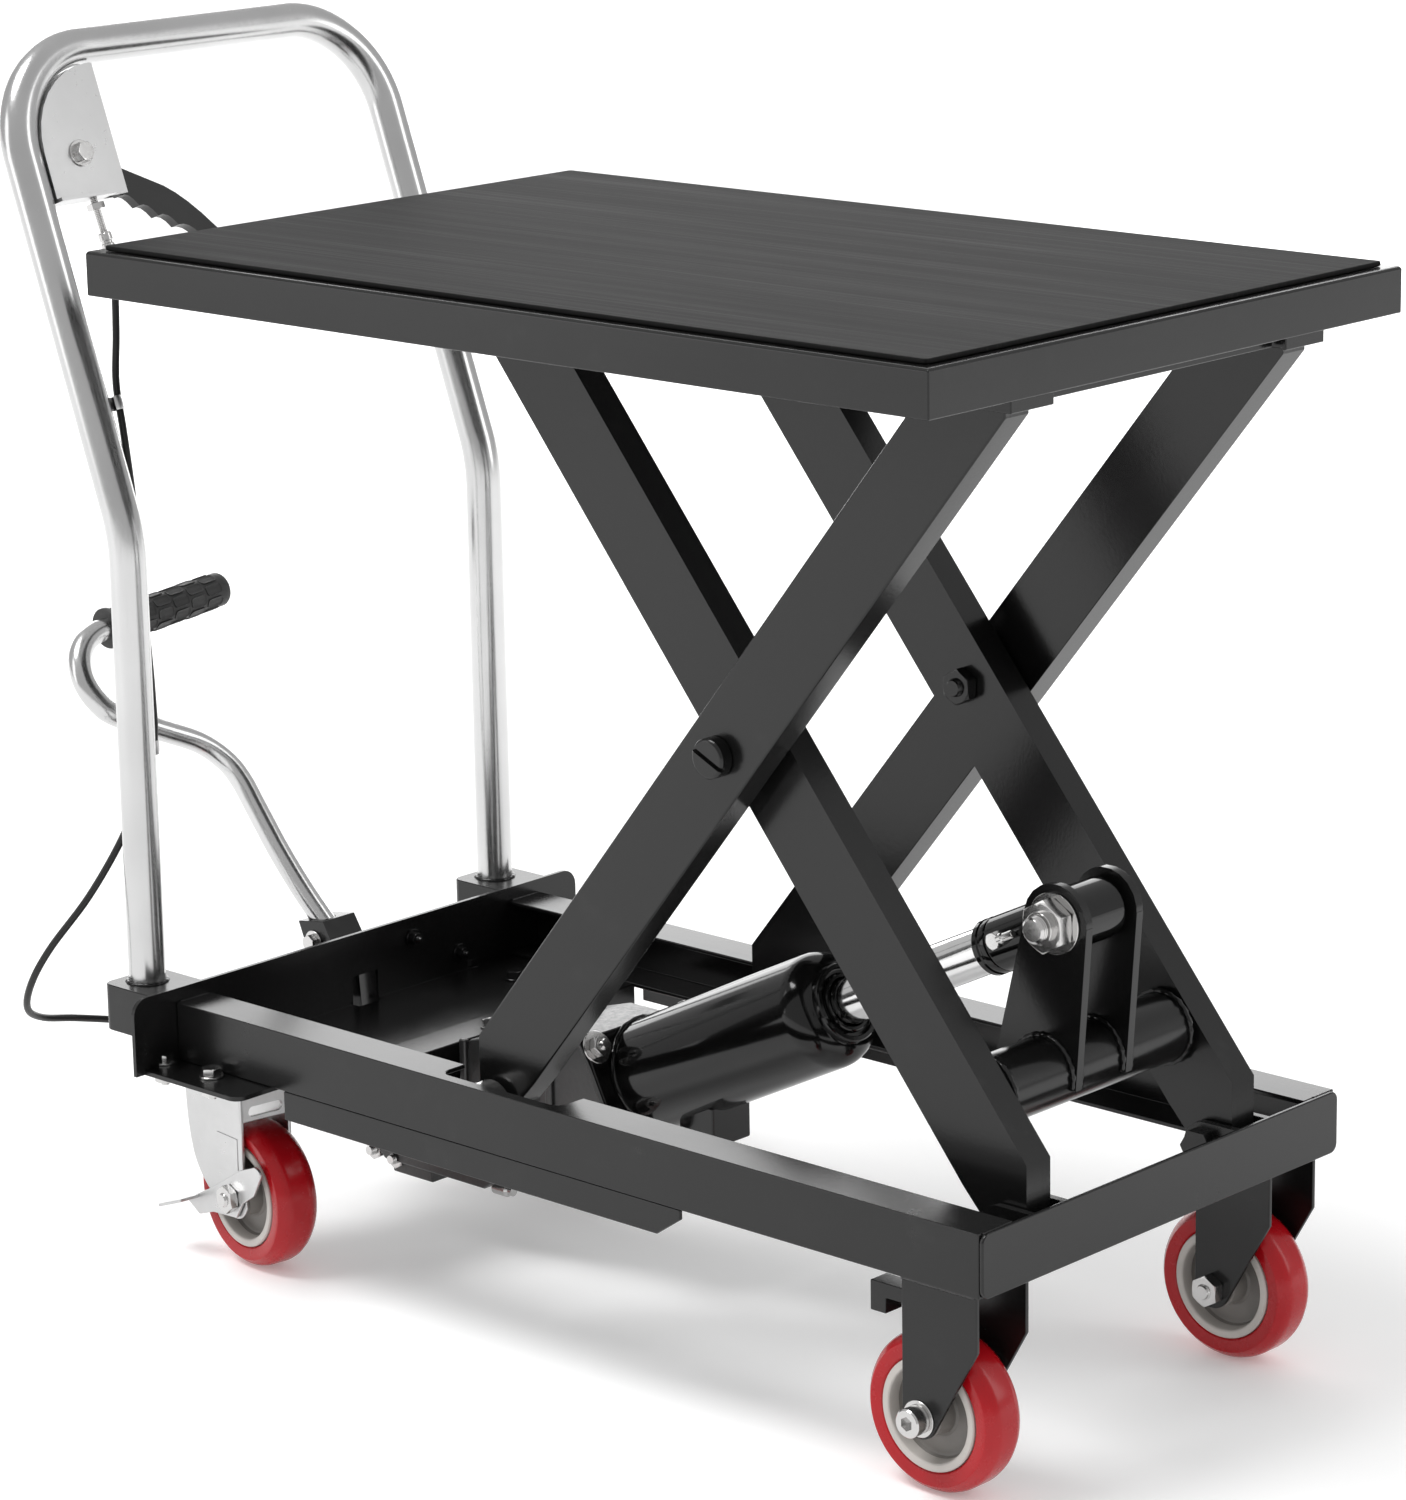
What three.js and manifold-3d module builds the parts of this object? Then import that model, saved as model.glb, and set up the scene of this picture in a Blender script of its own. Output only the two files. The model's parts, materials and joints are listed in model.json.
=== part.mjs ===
// Hydraulic scissor lift table: a steel base on four casters, two pairs of crossed arms, a platform tray,
// a foot pump with its cylinder, and a tube handle with a release lever. Millimetres, +Z up.
// +X runs from the handle to the front, and the right side is at -Y.

import * as THREE from 'three';
import { mergeVertices } from 'three/addons/utils/BufferGeometryUtils.js';
import Module from 'manifold-3d';

const wasm = await Module();
wasm.setup();

// ---- driving dimensions ----

const originShift = 37.0; // moves the whole table so that its box is centred on x = 0
const gap = 0.3; // left between pieces that touch on the real table

const base = {
	front: 403, // outer face of the front plate
	rear: -297, // outer face of the rear web
	halfWidth: 172,
	bottom: 138.5,
	top: 178.5,
	wall: 3,
	lip: 31, // width of the rail flanges
};

const platform = {
	front: 406.8,
	rear: -293,
	halfWidth: 220,
	top: 688.4,
	wall: 2.5,
	skirt: 28.6,
	matThickness: 3,
	matInset: 8.5,
};

// Pivots of the scissor, in the plane of the arms (x, z), with the arms at their raised rest pose.
const centre = { x: 172.5, z: 418 };
const lowerPivot = { x: 195.5, z: -259.5 }; // from the centre, mirrored for the other pair of arms
const upperPivot = { x: 189, z: 250.5 };

const arm = {
	angle: THREE.MathUtils.degToRad(50.7),
	halfDepth: 26,
	width: 22,
	innerFace: 88, // the inner arms run from here outwards
	outerFace: 118, // the outer arms run from here outwards
	tongue: 16.5, // radius of the rounded lower end
	pin: 8,
};

const roller = { radius: 16.7, upperRadius: 17, width: 21 };

const wheel = { radius: 50, width: 32, rim: 36, halfTrack: 142, frontX: 348, axle: 6 };

const caster = {
	x: -274,
	y: 142.5,
	trail: 27,
	turn: THREE.MathUtils.degToRad(8),
	back: -28, // ends of the crown, from the swivel axis
	front: 38,
	outerFace: 20.2, // of the legs
	innerFace: 17.6,
	plateFace: 20.6, // the brake plate runs from here outwards
};

const handle = {
	radius: 12.5,
	x: -331,
	halfWidth: 164.4,
	foot: 160,
	bend: 490, // height where the posts start to lean
	lean: 0.36, // how far back the posts run for each unit of height above the bend
	top: 796.4, // centre line of the crossbar
	corner: 70,
};

const cylinder = {
	y: -3,
	x: 22, // a point on the axis
	z: 163,
	angle: THREE.MathUtils.degToRad(26.35),
	radius: 38,
	foot: -41, // distances along the axis from that point
	mouth: 142,
	collar: 276,
	eye: 356,
	rod: 15,
};

const pedal = { pivotX: -315, pivotZ: 165, tube: 8, grip: 12, rootX: -328, rootZ: 186 };

// ---- materials ----

function finish(color, roughness, metalness) {
	return new THREE.MeshStandardMaterial({ color, roughness, metalness });
}

const finishes = {
	black: () => finish(0x1c1c1d, 0.38, 0.1),
	cast: () => finish(0x141415, 0.5, 0.1),
	chrome: () => finish(0xd9dadb, 0.14, 1),
	zinc: () => finish(0xc3c6c9, 0.34, 1),
	tyre: () => finish(0xc81e2b, 0.35, 0),
	rim: () => finish(0xb9b3aa, 0.5, 0),
	rubber: () => finish(0x17171a, 0.75, 0),
};

// ---- shape helpers ----

function toSolid(geometry) {
	const bare = geometry.clone();
	bare.deleteAttribute('normal');
	bare.deleteAttribute('uv');
	const welded = mergeVertices(bare, 1e-4);
	const vertProperties = new Float32Array(welded.attributes.position.array);
	const triVerts = new Uint32Array(welded.index.array);
	return new wasm.Manifold(new wasm.Mesh({ numProp: 3, vertProperties, triVerts }));
}

function toGeometry(solid) {
	const mesh = solid.getMesh();
	const geometry = new THREE.BufferGeometry();
	geometry.setAttribute('position', new THREE.BufferAttribute(new Float32Array(mesh.vertProperties), 3));
	geometry.setIndex(new THREE.BufferAttribute(new Uint32Array(mesh.triVerts), 1));
	return geometry;
}

function join(...geometries) {
	return toGeometry(geometries.map(toSolid).reduce((whole, next) => whole.add(next)));
}

function cut(geometry, ...tools) {
	return toGeometry(tools.map(toSolid).reduce((whole, next) => whole.subtract(next), toSolid(geometry)));
}

// A box between two corners.
function box(x0, x1, y0, y1, z0, z1) {
	const geometry = new THREE.BoxGeometry(Math.abs(x1 - x0), Math.abs(y1 - y0), Math.abs(z1 - z0));
	return geometry.translate((x0 + x1) / 2, (y0 + y1) / 2, (z0 + z1) / 2);
}

// A prism: the outline is drawn in (x, z) and runs along Y from y0 to y1.
function slabXZ(outline, y0, y1) {
	const depth = Math.abs(y1 - y0);
	const geometry = new THREE.ExtrudeGeometry(outline, { depth, bevelEnabled: false, curveSegments: 3 });
	return geometry.rotateX(Math.PI / 2).translate(0, Math.max(y0, y1), 0);
}

// A prism: the outline is drawn in (y, z) and runs along X from x0 to x1.
function slabYZ(outline, x0, x1) {
	const depth = x1 - x0;
	const geometry = new THREE.ExtrudeGeometry(outline, { depth, bevelEnabled: false, curveSegments: 3 });
	return geometry.rotateZ(Math.PI / 2).rotateY(Math.PI / 2).translate(x0, 0, 0);
}

// A prism: the outline is drawn in (x, y) and runs along Z from z0 to z1.
function slabXY(outline, z0, z1) {
	const depth = z1 - z0;
	const geometry = new THREE.ExtrudeGeometry(outline, { depth, bevelEnabled: false, curveSegments: 3 });
	return geometry.translate(0, 0, z0);
}

function outlineOf(points) {
	return new THREE.Shape(points.map(([x, y]) => new THREE.Vector2(x, y)));
}

// A rectangle with rounded corners; a radius of 0 leaves a corner square. Corners go round from low left.
function roundedRectangle(x0, x1, y0, y1, radii) {
	const [lowLeft, lowRight, highRight, highLeft] = radii;
	const shape = new THREE.Shape();
	shape.moveTo(x0 + lowLeft, y0);
	shape.lineTo(x1 - lowRight, y0);
	if (lowRight) shape.absarc(x1 - lowRight, y0 + lowRight, lowRight, -Math.PI / 2, 0);
	shape.lineTo(x1, y1 - highRight);
	if (highRight) shape.absarc(x1 - highRight, y1 - highRight, highRight, 0, Math.PI / 2);
	shape.lineTo(x0 + highLeft, y1);
	if (highLeft) shape.absarc(x0 + highLeft, y1 - highLeft, highLeft, Math.PI / 2, Math.PI);
	shape.lineTo(x0, y0 + lowLeft);
	if (lowLeft) shape.absarc(x0 + lowLeft, y0 + lowLeft, lowLeft, Math.PI, Math.PI * 1.5);
	return shape;
}

// A round bar along Y, between y0 and y1, at (x, z).
function barY(x, z, radius, y0, y1, sides = 12) {
	const geometry = new THREE.CylinderGeometry(radius, radius, Math.abs(y1 - y0), sides);
	return geometry.rotateY(Math.PI / sides).translate(x, (y0 + y1) / 2, z);
}

// A tool that cuts a hole round a bar along Y, so that the bar turns in it without touching.
function boreY(x, z, barRadius, y0, y1) {
	const count = 12;
	return barY(x, z, (barRadius + gap) / Math.cos(Math.PI / count), y0, y1, count);
}

// A round bar between two points.
function barBetween(from, to, radius, sides = 12) {
	const start = new THREE.Vector3(...from);
	const end = new THREE.Vector3(...to);
	const along = end.clone().sub(start);
	const geometry = new THREE.CylinderGeometry(radius, radius, along.length(), sides);
	const turn = new THREE.Quaternion().setFromUnitVectors(new THREE.Vector3(0, 1, 0), along.normalize());
	geometry.applyQuaternion(turn);
	const middle = start.add(end).multiplyScalar(0.5);
	return geometry.translate(middle.x, middle.y, middle.z);
}

// A turned piece: the profile lists [radius, distance along the axis].
function turned(profile, sides = 20) {
	return new THREE.LatheGeometry(profile.map(([r, h]) => new THREE.Vector2(r, h)), sides);
}

// A solid round bar that follows a curve.
function tubeAlong(curve, radius, sides, steps) {
	const section = new THREE.Shape();
	for (let i = 0; i < sides; i += 1) {
		const angle = (i / sides) * Math.PI * 2;
		const x = radius * Math.cos(angle);
		const y = radius * Math.sin(angle);
		if (i === 0) section.moveTo(x, y);
		else section.lineTo(x, y);
	}
	return new THREE.ExtrudeGeometry(section, { steps, extrudePath: curve, bevelEnabled: false });
}

// A path of straight runs whose inner corners are rounded to the given radii.
function bentLine(corners, radii) {
	const path = new THREE.CurvePath();
	let from = corners[0];
	for (let i = 1; i < corners.length - 1; i += 1) {
		const corner = corners[i];
		const back = corners[i - 1].clone().sub(corner).normalize();
		const on = corners[i + 1].clone().sub(corner).normalize();
		const turn = Math.PI - back.angleTo(on);
		const reach = radii[i - 1] * Math.tan(turn / 2);
		const pull = reach - (4 / 3) * Math.tan(turn / 4) * radii[i - 1];
		const start = corner.clone().addScaledVector(back, reach);
		const end = corner.clone().addScaledVector(on, reach);
		path.add(new THREE.LineCurve3(from, start));
		const startPull = corner.clone().addScaledVector(back, pull);
		const endPull = corner.clone().addScaledVector(on, pull);
		path.add(new THREE.CubicBezierCurve3(start, startPull, endPull, end));
		from = end;
	}
	path.add(new THREE.LineCurve3(from, corners[corners.length - 1]));
	return path;
}

// The two sides of the table: +1 is the left side (+Y), -1 the right side.
const sides = [{ name: 'left', sign: 1 }, { name: 'right', sign: -1 }];

const table = new THREE.Group();
table.position.x = originShift;

function addPiece(name, geometry, material, parent = table) {
	const mesh = new THREE.Mesh(geometry, material);
	mesh.name = name;
	parent.add(mesh);
	return mesh;
}

// ---- base frame ----

function sideRail(sign) {
	const outer = base.halfWidth * sign;
	const inner = (base.halfWidth - base.lip) * sign;
	const web = (base.halfWidth - base.wall) * sign;
	const start = base.rear + base.wall + gap;
	const end = base.front - base.wall - gap;
	const notch = { from: -51, to: 54, corner: 8, depth: 22 }; // lets the roller into the channel
	const block = box(start, end, outer, inner, base.bottom, base.top);
	const hollow = box(start - 1, end + 1, web, inner - sign, base.bottom + base.wall, base.top - base.wall);
	const mouth = slabXY(
		roundedRectangle(notch.from, notch.to, -notch.depth, notch.depth, Array(4).fill(notch.corner)),
		base.top - base.wall - 1,
		base.top + 1,
	).translate(0, inner, 0);
	return cut(block, hollow, mouth);
}

function frontPlate() {
	const corners = Array(4).fill(6);
	const outline = roundedRectangle(-base.halfWidth, base.halfWidth, base.bottom, base.top, corners);
	return slabYZ(outline, base.front - base.wall, base.front);
}

// An upright web with a wide bottom flange that carries the rear casters, and two ears for the pedal.
function rearMember() {
	const under = base.bottom - base.wall - gap;
	const webTop = 188;
	const earHalfWidth = 209;
	const web = slabYZ(
		roundedRectangle(-earHalfWidth, earHalfWidth, under, webTop, [0, 0, 12, 12]),
		base.rear,
		base.rear + base.wall,
	);
	const flange = slabXY(roundedRectangle(-304, -203, -202, 202, Array(4).fill(8)), under, base.bottom - gap);
	const pedalEars = [-1, 1].map((sign) => box(
		pedal.pivotX - 9, base.rear + 1, sign * 15.5, sign * 18.5, 96, pedal.pivotZ + 9,
	));
	const pin = barY(pedal.pivotX, pedal.pivotZ, 5, -22, 22, 16);
	const slot = box(-310, -288, -12, 12, under - 1, 158);
	const frame = cut(join(web, flange), slot);
	return join(frame, ...pedalEars, pin);
}

// An angle that ties the rails together and steadies the pump. The arms pass over it.
function crossMember() {
	const halfLength = base.halfWidth - base.lip - gap;
	const topFlange = box(-200, -171, -halfLength, halfLength, base.bottom, base.bottom + 2.9);
	const leg = box(-174, -171, -halfLength, halfLength, 118, base.bottom + 1);
	return join(topFlange, leg);
}

function skirtPlate(sign) {
	const outline = outlineOf([[-191, 138.2], [-191, 118.5], [144, 118.5], [164, 132], [164, 138.2]]);
	return slabXZ(outline, sign * (base.halfWidth - base.wall), sign * (base.halfWidth - 0.2));
}

function handleSocket(sign) {
	const top = 185;
	const bottom = 153;
	const outline = roundedRectangle(-350, base.rear - gap, sign * 164 - 24, sign * 164 + 24, [7, 2, 2, 7]);
	const block = slabXY(outline, bottom, top);
	const hole = new THREE.CylinderGeometry(handle.radius + 0.6, handle.radius + 0.6, 40, 16).rotateX(Math.PI / 2);
	hole.translate(handle.x, sign * handle.halfWidth, handle.foot - gap + 20);
	return cut(block, hole);
}

// Two ears behind the front plate, with the pin that the inner arm turns on.
function basePivot(sign) {
	const x = centre.x + lowerPivot.x;
	const z = centre.z + lowerPivot.z;
	const ear = (from, to) => {
		const round = barY(x, z, 15, sign * from, sign * to, 20);
		const neck = box(x, base.front - base.wall - gap, sign * from, sign * to, z - 15, z + 15);
		return join(round, neck);
	};
	const inboard = ear(arm.innerFace - 7, arm.innerFace - 2);
	const outboard = ear(arm.innerFace + arm.width + 1.5, arm.innerFace + arm.width + 6);
	const pin = barY(x, z, arm.pin, sign * (arm.innerFace - 9), sign * (arm.innerFace + arm.width + 10));
	const nut = barY(x, z, 12, sign * (arm.innerFace - 15), sign * (arm.innerFace - 6.5), 6);
	return join(inboard, outboard, pin, nut);
}

addPiece('front_plate', frontPlate(), finishes.black());
addPiece('rear_member', rearMember(), finishes.black());
addPiece('cross_member', crossMember(), finishes.black());
for (const { name, sign } of sides) {
	addPiece(`side_rail_${name}`, sideRail(sign), finishes.black());
	addPiece(`skirt_plate_${name}`, skirtPlate(sign), finishes.black());
	addPiece(`handle_socket_${name}`, handleSocket(sign), finishes.black());
	addPiece(`base_pivot_${name}`, basePivot(sign), finishes.black());
}

// ---- wheels ----

// Both wheels are turned about Y with their middle at the origin.
function tyre() {
	const half = wheel.width / 2;
	const crown = wheel.radius;
	const profile = [
		[wheel.rim, -half + 2], [crown - 6, -half], [crown, -half + 8],
		[crown, half - 8], [crown - 6, half], [wheel.rim, half - 2], [wheel.rim, -half + 2],
	];
	return turned(profile, 24);
}

function hub(boss) {
	const half = wheel.width / 2;
	const bore = wheel.axle + 0.5;
	const edge = wheel.rim - 2.5 * gap;
	const profile = [
		[bore, -boss], [13, -boss], [20, -half + 8], [edge, -half + 1],
		[edge, half - 1], [20, half - 8], [13, boss], [bore, boss],
		[bore, -boss],
	];
	return turned(profile, 16);
}

// The boss is half the length of the hub along the axle.
function addWheel(prefix, boss, parent) {
	addPiece(`${prefix}_tyre`, tyre(), finishes.tyre(), parent);
	addPiece(`${prefix}_hub`, hub(boss), finishes.rim(), parent);
}

// A fixed fork: a top plate, two tapered legs, and a hook tab behind the outer leg.
function frontFork(sign) {
	const top = base.bottom - gap;
	const x = wheel.frontX;
	const axleZ = wheel.radius;
	const leg = new THREE.Shape();
	leg.moveTo(x - 13, top);
	leg.lineTo(x - 13, axleZ);
	leg.absarc(x, axleZ, 13, Math.PI, Math.PI * 1.87);
	leg.lineTo(x + 44, 101);
	leg.lineTo(x + 44, top);
	const hole = boreY(x, axleZ, wheel.axle, -250, 250);
	const outer = slabXZ(leg, sign * 162, sign * 165);
	const inner = slabXZ(leg, sign * 117, sign * 120);
	const bridge = box(x - 13, x + 44, sign * 117, sign * 165, top - 3, top);
	const hook = slabXZ(
		outlineOf([[309, 127], [309, 108], [321, 108], [321, 118], [336, 118], [336, 127]]), sign * 148, sign * 163,
	);
	return cut(join(outer, inner, bridge, hook), hole);
}

function frontAxle(sign) {
	const x = wheel.frontX;
	const z = wheel.radius;
	const shank = barY(x, z, wheel.axle, sign * 110, sign * 170);
	const head = barY(x, z, 9, sign * 165.4, sign * 176, 16);
	const socket = barY(x, z, 4.6, sign * 171, sign * 178, 6);
	const nut = barY(x, z, 10.5, sign * 108, sign * 116.6, 6);
	return cut(join(shank, head, nut), socket);
}

for (const { name, sign } of sides) {
	addPiece(`front_fork_${name}`, frontFork(sign), finishes.black());
	addPiece(`front_axle_${name}`, frontAxle(sign), finishes.zinc());
	const frontWheel = new THREE.Group();
	frontWheel.position.set(wheel.frontX, sign * wheel.halfTrack, wheel.radius);
	table.add(frontWheel);
	addWheel(`front_${name}`, 19, frontWheel);
}

// ---- swivel casters: drawn at their swivel axis with the wheel trailing along +X ----

function casterPlate() {
	const top = base.bottom - base.wall - 2 * gap;
	return slabXY(roundedRectangle(-32.5, 32.5, -47.5, 47.5, Array(4).fill(5)), top - 3, top);
}

// Two pressed legs under a crown, joined ahead of the wheel by a slotted web.
function casterFork(side) {
	const { back, front, innerFace, outerFace } = caster;
	const plateUnder = base.bottom - base.wall - 3 - 3 * gap;
	const crown = 124;
	const axleX = caster.trail;
	const axleZ = wheel.radius;
	const race = turned([[0, crown - 1], [25, crown - 1], [25, plateUnder], [0, plateUnder]], 16);
	const cap = slabXY(roundedRectangle(back, front, -outerFace, outerFace, [12, 2, 2, 12]), crown - 3, crown);
	const web = slabYZ(roundedRectangle(-outerFace, outerFace, 103.5, crown, [2, 2, 0, 0]), front - 2.6, front);
	const webSlot = slabYZ(roundedRectangle(-14, 14, 107, 114, Array(4).fill(3.5)), front - 5, front + 5);
	const leg = new THREE.Shape();
	leg.moveTo(back, crown - 1);
	leg.quadraticCurveTo(back, 88, -20, 68);
	leg.quadraticCurveTo(-14, 56, -3, 48);
	leg.lineTo(axleX - 9, axleZ - 12);
	leg.absarc(axleX, axleZ, 15, Math.PI * 1.295, Math.PI * 1.9);
	leg.lineTo(front, axleZ + 14);
	leg.lineTo(front, crown - 1);
	const legs = [-1, 1].map((sign) => slabXZ(leg, sign * innerFace, sign * outerFace));
	const axle = barY(axleX, axleZ, wheel.axle, -side * 26, side * 32);
	const nut = barY(axleX, axleZ, 10.5, side * 23.4, side * 30, 6);
	const head = barY(axleX, axleZ, 10, -side * outerFace, -side * 26, 6);
	race.rotateX(Math.PI / 2);
	return join(cut(join(race, cap, web, ...legs), webSlot), axle, nut, head);
}

// A pressed lever on the axle: a tread behind and a shoe ahead.
function brakePedal(side) {
	const x = caster.trail;
	const z = wheel.radius;
	const face = caster.plateFace;
	const outline = outlineOf([
		[x - 40, z - 22], [x - 23, z - 16], [x + 5, z - 13], [x + 13, z - 1], [x + 27, z + 8], [x + 36, z + 26],
		[x + 28, z + 29], [x + 11, z + 22], [x - 24, z + 1], [x - 42, z - 8], [x - 54, z - 15],
	]);
	const plate = slabXZ(outline, side * face, side * (face + 2.4));
	const tread = slabXZ(
		outlineOf([[x - 40, z - 8], [x - 40, z - 10.4], [x - 68, z - 21], [x - 68, z - 18.6]]),
		side * face, side * (face + 17),
	);
	const bore = boreY(x, z, wheel.axle, -60, 60);
	return cut(join(plate, tread), bore);
}

for (const { name, sign } of sides) {
	const assembly = new THREE.Group();
	assembly.position.set(caster.x, sign * caster.y, 0);
	table.add(assembly);
	addPiece(`caster_plate_${name}`, casterPlate(), finishes.zinc(), assembly);
	const swivel = new THREE.Group();
	swivel.rotation.z = sign * caster.turn;
	assembly.add(swivel);
	addPiece(`caster_fork_${name}`, casterFork(sign), finishes.zinc(), swivel);
	addPiece(`brake_pedal_${name}`, brakePedal(sign), finishes.zinc(), swivel);
	const rearWheel = new THREE.Group();
	rearWheel.position.set(caster.trail, 0, wheel.radius);
	swivel.add(rearWheel);
	addWheel(`rear_${name}`, caster.innerFace - gap, rearWheel);
}

// ---- handle, release lever and cable ----

const leanLength = Math.hypot(1, handle.lean);
const handleUp = new THREE.Vector3(-handle.lean / leanLength, 0, 1 / leanLength);
const handleOut = new THREE.Vector3(1 / leanLength, 0, handle.lean / leanLength);

// A point of the leaning part of the handle: y across, reach along the lean from the bend.
function onHandle(y, reach) {
	return new THREE.Vector3(handle.x, y, handle.bend).addScaledVector(handleUp, reach);
}

// A plate parallel to the leaning part of the handle: the outline is drawn in (y, reach).
function slabOnHandle(outline, from, to) {
	const geometry = new THREE.ExtrudeGeometry(outline, { depth: to - from, bevelEnabled: false, curveSegments: 4 });
	const across = new THREE.Vector3(0, 1, 0);
	const place = new THREE.Matrix4().makeBasis(across, handleUp, handleOut);
	place.setPosition(onHandle(0, 0).addScaledVector(handleOut, from));
	return geometry.applyMatrix4(place);
}

const crossbarReach = (handle.top - handle.bend) * leanLength;

function handleTube() {
	const post = (sign, z) => new THREE.Vector3(handle.x, sign * handle.halfWidth, z);
	const corners = [
		post(-1, handle.foot), post(-1, handle.bend), onHandle(-handle.halfWidth, crossbarReach),
		onHandle(handle.halfWidth, crossbarReach), post(1, handle.bend), post(1, handle.foot),
	];
	return tubeAlong(bentLine(corners, [110, handle.corner, handle.corner, 110]), handle.radius, 10, 44);
}

const lever = { y: -121.9, reach: 253.1, bolt: 4, halfThickness: 4 };

// Two cheek plates that fill the corner of the handle, a lip that joins them, and the pivot bolt.
function leverBracket() {
	const inside = handle.corner - handle.radius - 0.6;
	const arcY = -handle.halfWidth + handle.corner;
	const arcReach = crossbarReach - handle.corner;
	const bottom = 222.7;
	const cheek = new THREE.Shape();
	cheek.moveTo(arcY - inside, bottom);
	cheek.lineTo(-91, bottom);
	cheek.lineTo(-92, arcReach + inside - 0.5);
	cheek.absarc(arcY, arcReach, inside, Math.PI / 2, Math.PI);
	const cheeks = [[4.5, 7], [-7, -4.5]].map(([from, to]) => slabOnHandle(cheek, from, to));
	const lip = slabOnHandle(roundedRectangle(arcY - inside, -104, bottom, bottom + 2.5, [0, 0, 0, 0]), -7, 12);
	const start = onHandle(lever.y, lever.reach).addScaledVector(handleOut, -11).toArray();
	const end = onHandle(lever.y, lever.reach).addScaledVector(handleOut, 12.5).toArray();
	const headStart = onHandle(lever.y, lever.reach).addScaledVector(handleOut, 6.8).toArray();
	return join(...cheeks, lip, barBetween(start, end, lever.bolt, 16), barBetween(headStart, end, 7, 6));
}

// A cast lever with three finger scallops along its lower edge.
function releaseLever() {
	const outline = new THREE.Shape();
	outline.moveTo(lever.y - 9, lever.reach - 4);
	outline.lineTo(-94.7, 221.7);
	for (const [y, reach] of [[-81.8, 213.2], [-68.1, 204.6], [-53.2, 196.5]]) {
		outline.quadraticCurveTo(y - 7, reach + 11, y, reach);
	}
	outline.quadraticCurveTo(-44, 198, -36, 187);
	outline.lineTo(-14, 168);
	outline.quadraticCurveTo(-4, 165, -5, 175.4);
	outline.lineTo(-21, 191);
	outline.quadraticCurveTo(-40, 214, -56.9, 224);
	outline.lineTo(-89.9, 240.4);
	outline.lineTo(lever.y + 4, lever.reach + 9);
	outline.absarc(lever.y, lever.reach, 9.5, Math.PI * 0.4, Math.PI * 1.1);
	const body = slabOnHandle(outline, -lever.halfThickness, lever.halfThickness);
	const start = onHandle(lever.y, lever.reach).addScaledVector(handleOut, -20).toArray();
	const end = onHandle(lever.y, lever.reach).addScaledVector(handleOut, 20).toArray();
	return cut(body, barBetween(start, end, lever.bolt + gap, 16));
}

const adjusterTop = [-401, -119.6, 699];
const adjusterEnd = [-391, -117, 668];

function cableAdjuster() {
	const along = (t) => adjusterTop.map((value, i) => value + (adjusterEnd[i] - value) * t);
	const rod = barBetween(adjusterTop, adjusterEnd, 3, 12);
	const nut = barBetween(along(0.03), along(0.24), 6.5, 6);
	const ferrule = barBetween(along(0.6), adjusterEnd, 4.5, 12);
	return join(rod, nut, ferrule);
}

// The cable from the adjuster to the pump valve, held by two clips on the post. Its points are its route.
const cableRoute = [
	[-390.8, -117.1, 667.5], [-384, -120, 645], [-374, -129, 615], [-361, -142, 585], [-350, -147, 555],
	[-343, -148, 515], [-339, -147.6, 470], [-336, -147.4, 425], [-333, -147.2, 380], [-333, -147.8, 345],
	[-345, -151, 312], [-356, -160, 278], [-369, -180, 240], [-386, -202, 205], [-398, -210, 180],
	[-412, -203, 158], [-421, -183, 145], [-420, -155, 138], [-405, -125, 132], [-380, -95, 126],
	[-345, -65, 121], [-310, -43, 118], [-280, -33, 117], [-261, -30, 117],
];

function releaseCable() {
	const curve = new THREE.CatmullRomCurve3(cableRoute.map((point) => new THREE.Vector3(...point)));
	return tubeAlong(curve, 2.5, 8, 52);
}

addPiece('handle_tube', handleTube(), finishes.chrome());
addPiece('lever_bracket', leverBracket(), finishes.zinc());
addPiece('release_lever', releaseLever(), finishes.rubber());
addPiece('cable_adjuster', cableAdjuster(), finishes.zinc());
addPiece('release_cable', releaseCable(), finishes.rubber());

// ---- foot pedal ----

// The pedal tube lies in one leaning plane: y across, reach up and back from its root.
function onPedal(y, reach) {
	return new THREE.Vector3(pedal.rootX - 0.551 * reach, y, pedal.rootZ + 0.835 * reach);
}

const gripStart = onPedal(-75, 246);
const gripEnd = onPedal(36, 256);

function pedalTube() {
	const bends = [
		[-2, 0], [-9, 30], [-14, 61], [-17, 95], [-19, 117], [-25, 134], [-40, 151], [-66, 166], [-98, 184], [-108, 196],
		[-112, 212], [-108, 228], [-98, 239], [-86, 244.5], [-75, 246], [-40, 249.2], [-5, 252.3], [28, 255.3],
	];
	const curve = new THREE.CatmullRomCurve3(bends.map(([y, reach]) => onPedal(y, reach)), false, 'centripetal');
	return tubeAlong(curve, pedal.tube, 8, 34);
}

function pedalGrip() {
	const length = gripStart.distanceTo(gripEnd);
	const bore = pedal.tube + 0.5;
	const profile = [
		[0, length - 5], [bore, length - 5], [bore, 0], [pedal.grip + 2.5, 0], [pedal.grip + 2.5, 4], [pedal.grip, 5],
		[pedal.grip, length - 2], [pedal.grip - 2, length], [0, length],
	];
	const turn = new THREE.Quaternion().setFromUnitVectors(
		new THREE.Vector3(0, 1, 0), gripEnd.clone().sub(gripStart).normalize(),
	);
	const geometry = turned(profile, 16).applyQuaternion(turn);
	return geometry.translate(gripStart.x, gripStart.y, gripStart.z);
}

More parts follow.
